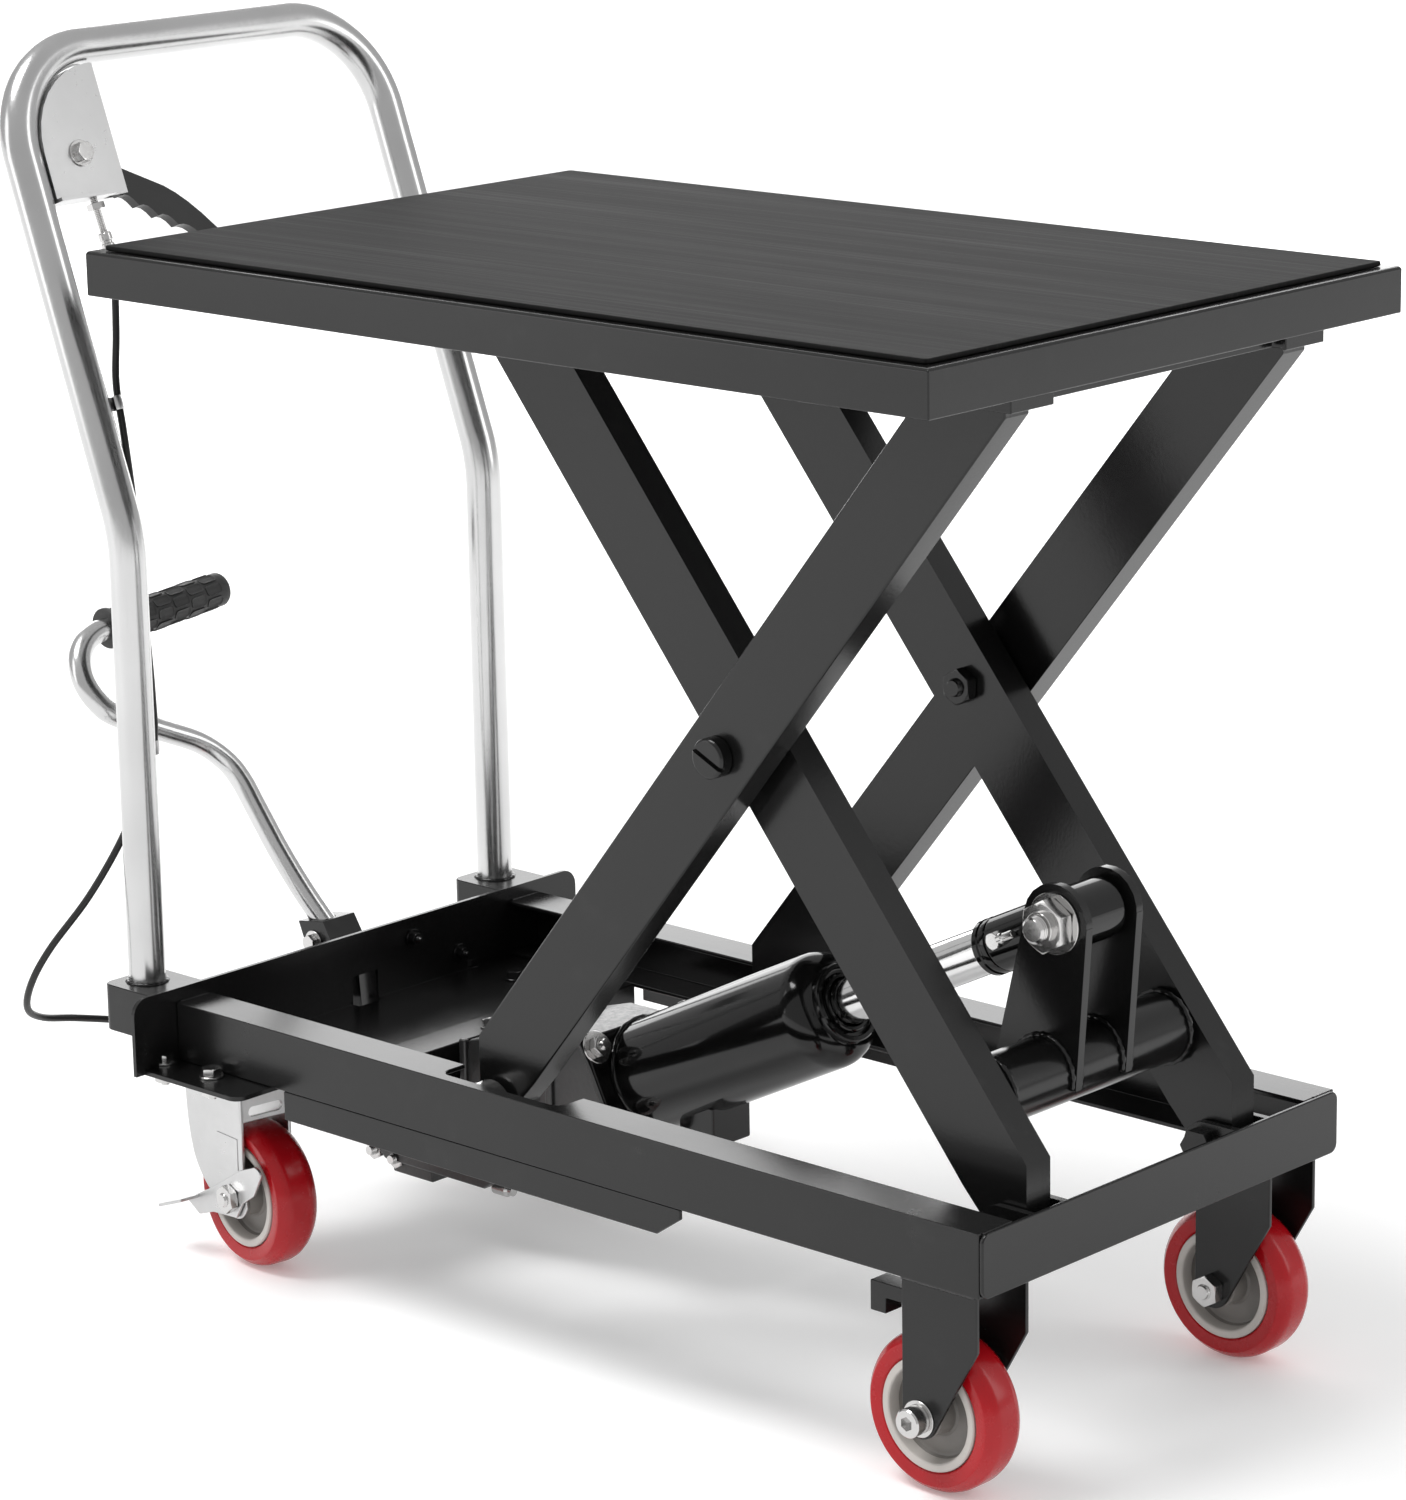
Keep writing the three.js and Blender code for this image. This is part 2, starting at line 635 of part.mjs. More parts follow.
// A block that holds the tube, turns on the rear member's pin and pushes the plunger with its lower arm.
function pedalSocket() {
	const block = outlineOf([
		[pedal.pivotX + 10, 158], [pedal.pivotX + 10, 172], [-319, 194], [-344, 190], [-334, 166], [-324, 155],
	]);
	const body = slabXZ(block, -15, 15);
	const pushArm = slabXZ(outlineOf([[-322, 160], [-316, 100], [-308, 92], [-303, 100], [-308, 160]]), -7, 7);
	const tubeBore = barBetween(onPedal(-2, -0.4).toArray(), onPedal(-6.7, 20).toArray(), pedal.tube + 0.6, 16);
	const pinBore = boreY(pedal.pivotX, pedal.pivotZ, 5, -30, 30);
	return cut(join(body, pushArm), tubeBore, pinBore);
}

addPiece('pedal_tube', pedalTube(), finishes.chrome());
addPiece('pedal_grip', pedalGrip(), finishes.rubber());
addPiece('pedal_socket', pedalSocket(), finishes.black());

// ---- pump and cylinder ----

const axis = new THREE.Vector3(Math.cos(cylinder.angle), 0, Math.sin(cylinder.angle));
const axisUp = new THREE.Vector3(-axis.z, 0, axis.x);

// A point beside the cylinder's axis: a distance along it, and one above it.
function onAxis(along, above = 0) {
	const origin = new THREE.Vector3(cylinder.x, cylinder.y, cylinder.z);
	return origin.addScaledVector(axis, along).addScaledVector(axisUp, above);
}

// Turns a piece drawn along +Y, starting at the origin, onto the cylinder's axis.
function placeOnAxis(geometry) {
	const place = new THREE.Matrix4().makeBasis(axisUp, axis, new THREE.Vector3().crossVectors(axisUp, axis));
	place.setPosition(onAxis(0));
	return geometry.applyMatrix4(place);
}

function cylinderBarrel() {
	const { radius, foot, mouth, rod } = cylinder;
	const bore = rod + 0.5;
	const shell = placeOnAxis(turned([
		[0, foot], [radius, foot], [radius, mouth - 12], [radius - 3, mouth - 5], [radius - 10, mouth - 1],
		[24, mouth], [24, mouth + 5], [bore, mouth + 5], [bore, -26], [0, -26],
	], 24));
	const flange = placeOnAxis(new THREE.BoxGeometry(76, 6, 104).translate(-0.5, foot - 2.5, 0));
	const tab = box(22, 52, cylinder.y - 18, cylinder.y + 18, 112, 140);
	const boreTool = placeOnAxis(new THREE.CylinderGeometry(bore, bore, 190, 24).translate(0, -26 + 95, 0));
	return cut(join(shell, flange, tab), boreTool);
}

function pistonRod() {
	const { rod, collar, eye } = cylinder;
	const bar = placeOnAxis(turned([
		[0, 102], [rod - 2, 102], [rod, 104], [rod, collar], [rod + 4, collar], [rod + 4, collar + 8],
		[rod - 1, collar + 8], [rod - 1, eye - 12], [0, eye - 12],
	], 20));
	const block = placeOnAxis(new THREE.BoxGeometry(34, 44, 34).translate(0, eye - 40, 0));
	const centreEye = onAxis(eye);
	const ring = barY(centreEye.x, centreEye.z, 19, cylinder.y - 17, cylinder.y + 17, 20);
	const bleeder = barBetween(onAxis(eye - 44, 10).toArray(), onAxis(eye - 44, 27).toArray(), 5, 6);
	const bore = boreY(centreEye.x, centreEye.z, 10, -80, 80);
	return cut(join(bar, block, ring, bleeder), bore);
}

// A casting behind the cylinder: its front face stands square to the cylinder, its rear part is the reservoir.
function pumpBody() {
	const faceAlong = cylinder.foot - 6 - 5;
	const faceTop = onAxis(faceAlong, 36);
	const faceBottom = onAxis(faceAlong, -40);
	const rear = -250;
	const outline = outlineOf([
		[rear, 134], [rear, 62], [rear + 14, 47], [-140, 47], [-118, 62], [-60, 100], [faceBottom.x, faceBottom.z],
		[faceTop.x, faceTop.z], [-75, 172], [-150, 150], [-160, 117], [-178, 117], [-178, 134],
	]);
	const body = slabXZ(outline, -42, 38);
	const plungerBore = barBetween([rear - 1, 0, 104], [rear + 45, 0, 104], 8.4, 16);
	const valve = barBetween([rear - 8, -30, 117], [rear + 4, -30, 117], 7, 16);
	const filler = barBetween([-105, 14, 155], [-109, 14, 176], 8, 6);
	return join(cut(body, plungerBore), valve, filler);
}

function pumpPlunger() {
	const shank = barBetween([-292, 0, 104], [-240, 0, 104], 8, 16);
	const button = barBetween([-301, 0, 104], [-291, 0, 104], 14, 16);
	return join(shank, button);
}

addPiece('cylinder_barrel', cylinderBarrel(), finishes.black());
addPiece('piston_rod', pistonRod(), finishes.chrome());
addPiece('pump_body', pumpBody(), finishes.cast());
addPiece('pump_plunger', pumpPlunger(), finishes.zinc());

// ---- scissor arms ----

// The outline of an arm about its centre pin, rising towards +X. Both ends are cut square to the floor.
function armOutline() {
	const cos = Math.cos(arm.angle);
	const sin = Math.sin(arm.angle);
	const h = arm.halfDepth;
	const upperEdge = (x) => [x, h * cos + ((x + h * sin) * sin) / cos];
	const lowerEdge = (x) => [x, -h * cos + ((x - h * sin) * sin) / cos];
	const topCut = upperPivot.z + 12.5;
	const upperCorner = ((topCut - h * cos) * cos) / sin - h * sin;
	const shape = new THREE.Shape();
	shape.moveTo(...upperEdge(-lowerPivot.x - arm.tongue));
	shape.lineTo(-lowerPivot.x - arm.tongue, lowerPivot.z);
	shape.absarc(-lowerPivot.x, lowerPivot.z, arm.tongue, Math.PI, Math.PI * 2);
	shape.lineTo(-lowerPivot.x + arm.tongue, lowerPivot.z + 2);
	shape.lineTo(...lowerEdge(-lowerPivot.x + 32));
	shape.lineTo(...lowerEdge(upperPivot.x + 32.5));
	shape.lineTo(upperPivot.x + 32.5, topCut);
	shape.lineTo(upperCorner, topCut);
	return shape;
}

function armBar(direction, from, to) {
	const bar = slabXZ(armOutline(), from, to);
	if (direction < 0) bar.applyMatrix4(new THREE.Matrix4().makeRotationZ(Math.PI));
	return bar.translate(centre.x, 0, centre.z);
}

function outerArm(sign) {
	const faces = [sign * arm.outerFace, sign * (arm.outerFace + arm.width)];
	const bar = armBar(1, ...faces);
	const centreHole = boreY(centre.x, centre.z, arm.pin, sign * 100, sign * 160);
	const topHole = boreY(centre.x + upperPivot.x, centre.z + upperPivot.z, arm.pin, sign * 100, sign * 160);
	const stub = barY(
		centre.x - lowerPivot.x, centre.z + lowerPivot.z, arm.pin, faces[1] - sign * 2, sign * (base.halfWidth - 5),
	);
	return join(cut(bar, centreHole, topHole), stub);
}

function innerArm(sign) {
	const inner = sign * arm.innerFace;
	const outer = sign * (arm.innerFace + arm.width);
	const bar = armBar(-1, -inner, -outer);
	const centreHole = boreY(centre.x, centre.z, arm.pin, sign * 70, sign * 130);
	const footHole = boreY(centre.x + lowerPivot.x, centre.z + lowerPivot.z, arm.pin, sign * 70, sign * 130);
	const stub = barY(centre.x - upperPivot.x, centre.z + upperPivot.z, arm.pin, outer - sign * 2, sign * 136);
	return join(cut(bar, centreHole, footHole), stub);
}

// The pin of a crossing: slotted head outside, a bush between the arms, a nut inside.
function centrePin(sign) {
	const at = (radius, from, to, count) => barY(centre.x, centre.z, radius, sign * from, sign * to, count);
	const outside = arm.outerFace + arm.width + gap;
	const shank = at(arm.pin, arm.innerFace - 8, outside + 2, 12);
	const head = at(12.5, outside, outside + 10, 20);
	const bush = at(13, arm.innerFace + arm.width + gap, arm.outerFace - gap, 12);
	const nut = at(12, arm.innerFace - 9, arm.innerFace - gap, 6);
	const slot = box(-14, 14, sign * (outside + 7), sign * (outside + 12), -1.6, 1.6);
	slot.rotateY(THREE.MathUtils.degToRad(25)).translate(centre.x, 0, centre.z);
	return cut(join(shank, head, bush, nut), slot);
}

function rollerRing(radius) {
	const bore = arm.pin + 0.4;
	const half = roller.width / 2;
	const profile = [
		[bore, -half], [radius - 1, -half], [radius, -half + 1], [radius, half - 1], [radius - 1, half], [bore, half],
		[bore, -half],
	];
	return turned(profile, 16);
}

// A tube between the inner arms with two ears that hold the cylinder's pin.
function clevisTube() {
	const tubeX = 333;
	const tubeZ = 227;
	const pin = onAxis(cylinder.eye);
	const half = arm.innerFace - gap;
	const tube = barY(tubeX, tubeZ, 22, -half, half, 20);
	const ears = [[-30, -24], [18, 24]].map(([from, to]) => {
		const web = slabXZ(outlineOf([
			[tubeX - 40, tubeZ - 6], [tubeX + 24, tubeZ - 8], [pin.x + 24, pin.z], [pin.x - 22, pin.z + 6],
		]), from, to);
		return join(web, barY(pin.x, pin.z, 24, from, to, 20));
	});
	const bore = boreY(pin.x, pin.z, 10, -60, 60);
	return cut(join(tube, ...ears), bore);
}

function clevisPin() {
	const pin = onAxis(cylinder.eye);
	const shank = barY(pin.x, pin.z, 10, -52, 30);
	const nut = barY(pin.x, pin.z, 19, -47, -30.4, 6);
	const head = barY(pin.x, pin.z, 15, 24.4, 32);
	return join(shank, nut, head);
}

for (const { name, sign } of sides) {
	addPiece(`inner_arm_${name}`, innerArm(sign), finishes.black());
	addPiece(`outer_arm_${name}`, outerArm(sign), finishes.black());
	addPiece(`centre_pin_${name}`, centrePin(sign), finishes.black());
	const lowerRoller = addPiece(`lower_roller_${name}`, rollerRing(roller.radius), finishes.zinc());
	lowerRoller.position.set(centre.x - lowerPivot.x, sign * 154, centre.z + lowerPivot.z);
	const upperRoller = addPiece(`upper_roller_${name}`, rollerRing(roller.upperRadius), finishes.zinc());
	upperRoller.position.set(centre.x - upperPivot.x, sign * 122.5, centre.z + upperPivot.z);
}
addPiece('clevis_tube', clevisTube(), finishes.black());
addPiece('clevis_pin', clevisPin(), finishes.zinc());

// ---- platform ----

// A pressed tray: a flat top with a skirt all round, open below.
function platformTray() {
	const { front, rear, halfWidth, top, wall, skirt } = platform;
	const edge = 2;
	const outline = outlineOf([
		[rear + edge, -halfWidth + edge], [front - edge, -halfWidth + edge], [front - edge, halfWidth - edge],
		[rear + edge, halfWidth - edge],
	]);
	const bevel = { depth: skirt, bevelThickness: edge, bevelSize: edge, bevelSegments: 2 };
	const block = new THREE.ExtrudeGeometry(outline, bevel).translate(0, 0, top - skirt - edge);
	const inside = box(rear + wall, front - wall, -halfWidth + wall, halfWidth - wall, top - skirt - 10, top - wall);
	const below = box(rear - 5, front + 5, -halfWidth - 5, halfWidth + 5, top - skirt - 10, top - skirt);
	return cut(block, inside, below);
}

function platformMat() {
	const { front, rear, halfWidth, top, matInset, matThickness } = platform;
	const outline = roundedRectangle(
		rear + matInset, front - matInset, -halfWidth + matInset, halfWidth - matInset, Array(4).fill(3),
	);
	return slabXY(outline, top + gap, top + gap + matThickness);
}

// Two ears under the front of the tray with the pin that the outer arm turns on.
function topPivot(sign) {
	const x = centre.x + upperPivot.x;
	const z = centre.z + upperPivot.z;
	const under = platform.top - platform.wall - gap;
	const outline = outlineOf([[x - 18, under], [x - 12, z - 10], [x - 4, 652], [403.5, 652], [403.5, under]]);
	const innerEar = slabXZ(outline, sign * (arm.outerFace - 6), sign * (arm.outerFace - 1));
	const outerEar = slabXZ(outline, sign * (arm.outerFace + arm.width + 1), sign * (arm.outerFace + arm.width + 6));
	const face = box(399.5, 403.5, sign * 108, sign * 146, 652, under);
	const pin = barY(x, z, arm.pin, sign * (arm.outerFace - 8), sign * (arm.outerFace + arm.width + 9));
	return join(innerEar, outerEar, face, pin);
}

function trayBar() {
	return box(388, 394, -107.5, 107.5, 653, platform.top - platform.wall - gap);
}

addPiece('platform_tray', platformTray(), finishes.black());
addPiece('platform_mat', platformMat(), finishes.rubber());
addPiece('tray_bar', trayBar(), finishes.black());
for (const { name, sign } of sides) {
	addPiece(`top_pivot_${name}`, topPivot(sign), finishes.black());
}

export default table;
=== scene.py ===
# Looks of a hydraulic scissor lift table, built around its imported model.
import json
import math
import random

import bpy
from mathutils import Matrix, Vector


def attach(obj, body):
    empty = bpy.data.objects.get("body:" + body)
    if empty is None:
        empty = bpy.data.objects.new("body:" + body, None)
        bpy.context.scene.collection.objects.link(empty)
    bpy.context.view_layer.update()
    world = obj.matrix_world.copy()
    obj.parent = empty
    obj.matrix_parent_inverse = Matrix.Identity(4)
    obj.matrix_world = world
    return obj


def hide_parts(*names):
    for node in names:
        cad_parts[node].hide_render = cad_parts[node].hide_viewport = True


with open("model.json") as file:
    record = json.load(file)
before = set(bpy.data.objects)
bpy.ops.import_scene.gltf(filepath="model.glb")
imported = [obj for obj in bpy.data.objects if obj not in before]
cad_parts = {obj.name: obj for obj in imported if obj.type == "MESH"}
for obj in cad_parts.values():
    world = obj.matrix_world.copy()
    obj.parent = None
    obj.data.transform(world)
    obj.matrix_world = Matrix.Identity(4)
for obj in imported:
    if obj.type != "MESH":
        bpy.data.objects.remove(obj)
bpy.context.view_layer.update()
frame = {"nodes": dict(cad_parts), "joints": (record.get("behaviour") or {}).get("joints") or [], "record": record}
bpy.ops.object.select_all(action="DESELECT")

mm = 0.001
sides = {"left": 1, "right": -1}
joints = {joint["name"]: joint for joint in frame["joints"]}
nodes = frame["nodes"]


def place(jointName):
    return Vector(joints[jointName]["pos_m"])


# camera, floor and light

camera = {"place": (2.1634, -2.241, 1.1641), "turn": 43.6245, "tilt": 14.4085, "roll": -1.1577,
          "lens": 119.43, "shiftX": 0.02968, "shiftY": -0.00487}
bpy.ops.object.camera_add(location=camera["place"])
eye = bpy.context.object
aim = (Matrix.Rotation(math.radians(camera["turn"]), 4, "Z")
       @ Matrix.Rotation(math.radians(90 - camera["tilt"]), 4, "X")
       @ Matrix.Rotation(math.radians(camera["roll"]), 4, "Z"))
eye.matrix_world = Matrix.Translation(camera["place"]) @ aim
eye.data.lens = camera["lens"]
eye.data.shift_x = camera["shiftX"]
eye.data.shift_y = camera["shiftY"]
eye.data.clip_end = 100
bpy.context.scene.camera = eye
bpy.context.scene.view_settings.view_transform = "Standard"


# materials

class Wire:
    # a value that runs between nodes; a sum or product of wires adds a Math node
    def __init__(self, shade, socket):
        self.shade = shade
        self.socket = socket

    def maths(self, operation, first, second):
        return self.shade.node("ShaderNodeMath", {"operation": operation}, {0: first, 1: second})

    def __add__(self, other):
        return self.maths("ADD", self, other)

    def __mul__(self, other):
        return self.maths("MULTIPLY", self, other)

    __radd__ = __add__
    __rmul__ = __mul__


class Shade:
    # one material, with its Principled shader ready
    def __init__(self, name, **constants):
        self.material = bpy.data.materials.new(name)
        self.material.use_nodes = True
        self.tree = self.material.node_tree
        self.tree.nodes.clear()
        output = self.tree.nodes.new("ShaderNodeOutputMaterial")
        self.shader = self.tree.nodes.new("ShaderNodeBsdfPrincipled")
        self.tree.links.new(self.shader.outputs[0], output.inputs["Surface"])
        self.coords = self.node("ShaderNodeTexCoord", {}, {}, "Object")
        for key, value in constants.items():
            self.feed(self.shader, key, value)

    def feed(self, node, key, value):
        socket = node.inputs[key]
        if isinstance(value, Wire):
            self.tree.links.new(value.socket, socket)
        else:
            socket.default_value = value

    def node(self, kind, settings, inputs, output=0):
        made = self.tree.nodes.new(kind)
        for key, value in settings.items():
            if key == "stops":
                ramp = made.color_ramp
                while len(ramp.elements) < len(value):
                    ramp.elements.new(0.5)
                for element, (position, level) in zip(ramp.elements, value):
                    element.position = position
                    element.color = level if isinstance(level, tuple) else (level, level, level, 1)
            else:
                setattr(made, key, value)
        for key, value in inputs.items():
            self.feed(made, key, value)
        return Wire(self, made.outputs[output])

    def noise(self, scale, detail=3, stretch=(1, 1, 1), roughness=0.5):
        spread = self.node("ShaderNodeMapping", {}, {"Vector": self.coords, "Scale": stretch})
        return self.node("ShaderNodeTexNoise", {}, {"Vector": spread, "Scale": scale, "Detail": detail,
                                                    "Roughness": roughness}, "Fac")

    def ramp(self, value, stops):
        return self.node("ShaderNodeValToRGB", {"stops": stops}, {"Fac": value}, "Color")

    def level(self, value, low, high, toLow, toHigh):
        return self.node("ShaderNodeMapRange", {}, {"Value": value, "From Min": low, "From Max": high,
                                                    "To Min": toLow, "To Max": toHigh}, "Result")

    def blend(self, factor, first, second):
        settings = {"data_type": "RGBA"}
        return self.node("ShaderNodeMix", settings, {0: factor, 6: first, 7: second}, 2)

    def bump(self, height, strength, distance):
        settings = {"Height": height, "Strength": strength, "Distance": distance}
        return self.node("ShaderNodeBump", {}, settings, "Normal")

    def finish(self, **varying):
        for key, value in varying.items():
            self.feed(self.shader, key.replace("_", " "), value)
        return self.material


def grey(level, warm=0.0):
    return (level * (1 + warm), level, level * (1 - warm), 1)


def powderCoat(name, tone, gloss, peel=0.16):
    shade = Shade(name, **{"Specular IOR Level": 0.4, "IOR": 1.5})
    clouds = shade.noise(5, 4)
    grain = shade.noise(420, 2)
    dust = shade.ramp(shade.noise(38, 6, roughness=0.7), [(0.58, 0.0), (0.82, 1.0)])
    base = shade.blend(shade.level(clouds, 0.3, 0.7, 0, 1), grey(tone * 0.8), grey(tone * 1.25))
    colour = shade.blend(dust * 0.03, base, grey(0.3, 0.02))
    rough = shade.level(clouds, 0.3, 0.7, gloss - 0.03, gloss + 0.04) + dust * 0.06
    return shade.finish(Base_Color=colour, Roughness=rough, Normal=shade.bump(grain, peel, 0.0002))


def plated(name, low, high, rough, streak, warm=0.0, dull=0.05):
    # bright metal with fine drawn lines, cloudy patches and a few dull spots
    shade = Shade(name, **{"Metallic": 1.0})
    lines = shade.noise(160, 3, streak)
    clouds = shade.noise(9, 4)
    spots = shade.ramp(shade.noise(120, 5, roughness=0.7), [(0.62, 0.0), (0.78, 1.0)])
    base = shade.blend(shade.level(clouds, 0.3, 0.7, 0, 1), grey(low, warm), grey(high, warm))
    colour = shade.blend(spots * dull, base, grey(low * 0.6, warm))
    roughness = shade.level(lines, 0.3, 0.7, rough * 0.85, rough * 1.2) + spots * dull
    return shade.finish(Base_Color=colour, Roughness=roughness, Normal=shade.bump(lines, 0.06, 0.0001))


def castIron(name):
    shade = Shade(name, **{"Coat Weight": 0.4, "Coat Roughness": 0.25})
    pits = shade.noise(260, 6, roughness=0.7)
    lumps = shade.noise(38, 3)
    colour = shade.blend(shade.level(lumps, 0.3, 0.7, 0, 1), grey(0.006), grey(0.014))
    height = pits * 0.5 + lumps * 0.8
    return shade.finish(Base_Color=colour, Roughness=shade.level(pits, 0.3, 0.7, 0.28, 0.5),
                        Normal=shade.bump(height, 0.7, 0.0008))


def polyurethane(name):
    shade = Shade(name, **{"Specular IOR Level": 0.3, "Coat Weight": 0.12, "Coat Roughness": 0.1})
    clouds = shade.noise(16, 4)
    scuffs = shade.ramp(shade.noise(85, 6, roughness=0.7), [(0.52, 0.0), (0.75, 1.0)])
    base = shade.blend(shade.level(clouds, 0.3, 0.7, 0, 1), (0.35, 0.003, 0.007, 1), (0.43, 0.005, 0.01, 1))
    colour = shade.blend(scuffs * 0.03, base, (0.3, 0.04, 0.045, 1))
    return shade.finish(Base_Color=colour, Roughness=shade.level(scuffs, 0, 1, 0.24, 0.42),
                        Normal=shade.bump(shade.noise(420, 3), 0.12, 0.0002))


def mouldedPlastic(name, low, high, rough, warm=0.0, grainScale=700, grainStrength=0.2):
    shade = Shade(name, **{"Specular IOR Level": 0.45})
    clouds = shade.noise(24, 4)
    grain = shade.noise(grainScale, 3)
    base = shade.blend(shade.level(clouds, 0.3, 0.7, 0, 1), grey(low, warm), grey(high, warm))
    return shade.finish(Base_Color=base, Roughness=shade.level(grain, 0.3, 0.7, rough - 0.06, rough + 0.08),
                        Normal=shade.bump(grain, grainStrength, 0.0002))


def ribbedRubber(name):
    # long fine streaks that run the length of the platform
    shade = Shade(name, **{"Specular IOR Level": 0.12})
    fine = shade.noise(90, 4, (0.03, 6, 1), 0.65)
    broad = shade.noise(26, 3, (0.05, 2.2, 1))
    streaks = fine * 0.7 + broad * 0.3
    colour = shade.ramp(streaks, [(0.36, grey(0.003)), (0.52, grey(0.0065)), (0.68, grey(0.019))])
    return shade.finish(Base_Color=colour, Roughness=shade.level(streaks, 0.35, 0.65, 0.6, 0.78),
                        Normal=shade.bump(streaks, 0.35, 0.0006))


paint = {
    "frame": powderCoat("frameBlack", 0.006, 0.23),
    "tray": powderCoat("trayBlack", 0.007, 0.2),
    "arm": powderCoat("armBlack", 0.006, 0.2),
    "barrel": powderCoat("barrelGloss", 0.004, 0.1, 0.06),
    "weld": powderCoat("weldBlack", 0.006, 0.16, 0.5),
    "cast": castIron("pumpCast"),
    "chrome": plated("chromeTube", 0.52, 0.62, 0.22, (6, 6, 0.12)),
    "rod": plated("chromeRod", 0.66, 0.76, 0.12, (1, 5, 1)),
    "zinc": plated("zincPlate", 0.5, 0.6, 0.32, (1, 1, 1), 0.0, 0.03),
    "bolt": plated("zincBolt", 0.5, 0.66, 0.2, (3, 3, 3), 0.01),
    "tyre": polyurethane("redTyre"),
    "rim": mouldedPlastic("rimGrey", 0.44, 0.54, 0.42, 0.06),
    # the rim's own grey made darker for the hub: painted shade in the deep recess
    "recess_painted_shade": mouldedPlastic("rimRecessPaintedShade", 0.15, 0.22, 0.4, 0.07),
    "mat": ribbedRubber("matRubber"),
    "grip": mouldedPlastic("gripRubber", 0.02, 0.03, 0.5, 0, 500, 0.3),
    "lever": mouldedPlastic("leverBlack", 0.008, 0.013, 0.34, 0, 600, 0.2),
    "cable": mouldedPlastic("cableBlack", 0.006, 0.01, 0.36, 0, 900, 0.1),
}
print("materials ready", len(paint))


# modelling helpers

def only(piece):
    bpy.ops.object.select_all(action="DESELECT")
    piece.hide_viewport = False
    piece.select_set(True)
    bpy.context.view_layer.objects.active = piece


def edit(piece):
    only(piece)
    bpy.ops.object.mode_set(mode="EDIT")
    bpy.ops.mesh.select_all(action="SELECT")


def done():
    bpy.ops.object.mode_set(mode="OBJECT")
    return bpy.context.object


def bake(piece):
    only(piece)
    bpy.ops.object.transform_apply(location=True, rotation=True, scale=True)
    return piece


def applyModifier(piece, kind, **settings):
    only(piece)
    modifier = piece.modifiers.new("shape", kind)
    for key, value in settings.items():
        setattr(modifier, key, value)
    bpy.ops.object.modifier_apply(modifier=modifier.name)
    return piece


def bevelled(piece, width, segments=3, angle=38):
    return applyModifier(piece, "BEVEL", width=width * mm, segments=segments, limit_method="ANGLE",
                         angle_limit=math.radians(angle), use_clamp_overlap=True)


def smoothed(piece, angle=38):
    only(piece)
    bpy.ops.object.shade_smooth_by_angle(angle=math.radians(angle))
    return piece


def joined(pieces):
    for piece in pieces:
        bake(piece)
    bpy.ops.object.select_all(action="DESELECT")
    for piece in pieces:
        piece.select_set(True)
    bpy.context.view_layer.objects.active = pieces[0]
    if len(pieces) > 1:
        bpy.ops.object.join()
    return bpy.context.object


def cutBy(piece, tool):
    applyModifier(piece, "BOOLEAN", object=tool, operation="DIFFERENCE", solver="EXACT")
    bpy.data.objects.remove(tool)
    return piece


def keep(piece, name, body, look, covers=(), angle=38):
    # the last step of every new piece
    bake(piece)
    smoothed(piece, angle)
    applyModifier(piece, "WEIGHTED_NORMAL", keep_sharp=True)
    piece.name = name
    piece.data.name = name
    piece.data.materials.clear()
    piece.data.materials.append(paint[look])
    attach(piece, body)
    if covers:
        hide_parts(*covers)
    return piece


def refined(node, look, width=0.8, segments=2, angle=40):
    # a finer copy of a folded or cut part, with its edges eased
    body = next(name for name, members in frame["record"]["behaviour"]["bodies"].items() if node in members)
    piece = bpy.data.objects.new(node + "_fine", nodes[node].data.copy())
    bpy.context.scene.collection.objects.link(piece)
    edit(piece)
    bpy.ops.mesh.remove_doubles(threshold=0.00001)
    bpy.ops.mesh.dissolve_limited(angle_limit=math.radians(0.6))
    done()
    bevelled(piece, width, segments, angle)
    return keep(piece, node + "_fine", body, look, [node], angle - 4)


def turnedPiece(profile, count=56, ring=False):
    # a round piece about Z: a circle is extruded from ring to ring through (radius, height)
    radius, height = profile[0]
    bpy.ops.mesh.primitive_circle_add(vertices=count, radius=radius * mm, location=(0, 0, height * mm),
                                      fill_type="NOTHING" if ring else "NGON")
    piece = bpy.context.object
    edit(piece)
    for (fromRadius, fromHeight), (toRadius, toHeight) in zip(profile, profile[1:]):
        rise = (toHeight - fromHeight) * mm
        bpy.ops.mesh.extrude_region_move(TRANSFORM_OT_translate={"value": (0, 0, rise)})
        grow = toRadius / fromRadius
        bpy.ops.transform.resize(value=(grow, grow, 1), center_override=(0, 0, 0))
    bpy.ops.mesh.select_all(action="SELECT")
    if ring:
        bpy.ops.mesh.remove_doubles(threshold=0.000005)
    bpy.ops.mesh.normals_make_consistent(inside=False)
    done()
    return bake(piece)


def point(piece, start, direction):
    # stands a piece drawn along Z at start, along direction
    turn = Vector((0, 0, 1)).rotation_difference(Vector(direction)).to_matrix().to_4x4()
    piece.matrix_world = Matrix.Translation(start) @ turn
    return bake(piece)


def across(piece, x, y, z):
    # stands a piece drawn along Z on an axle along Y
    return point(piece, (x, y, z), (0, 1, 0))


def plate(outline, thickness, matrix=None):
    # an outline in millimetres, drawn in XY and given a thickness along Z
    bpy.ops.mesh.primitive_circle_add(vertices=len(outline), radius=0.01, fill_type="NGON")
    piece = bpy.context.object
    for vertex, (x, y) in zip(piece.data.vertices, outline):
        vertex.co = (x * mm, y * mm, 0)
    edit(piece)
    bpy.ops.mesh.extrude_region_move(TRANSFORM_OT_translate={"value": (0, 0, thickness * mm)})
    bpy.ops.mesh.select_all(action="SELECT")
    bpy.ops.mesh.normals_make_consistent(inside=False)
    done()
    if matrix is not None:
        piece.matrix_world = matrix
    return bake(piece)


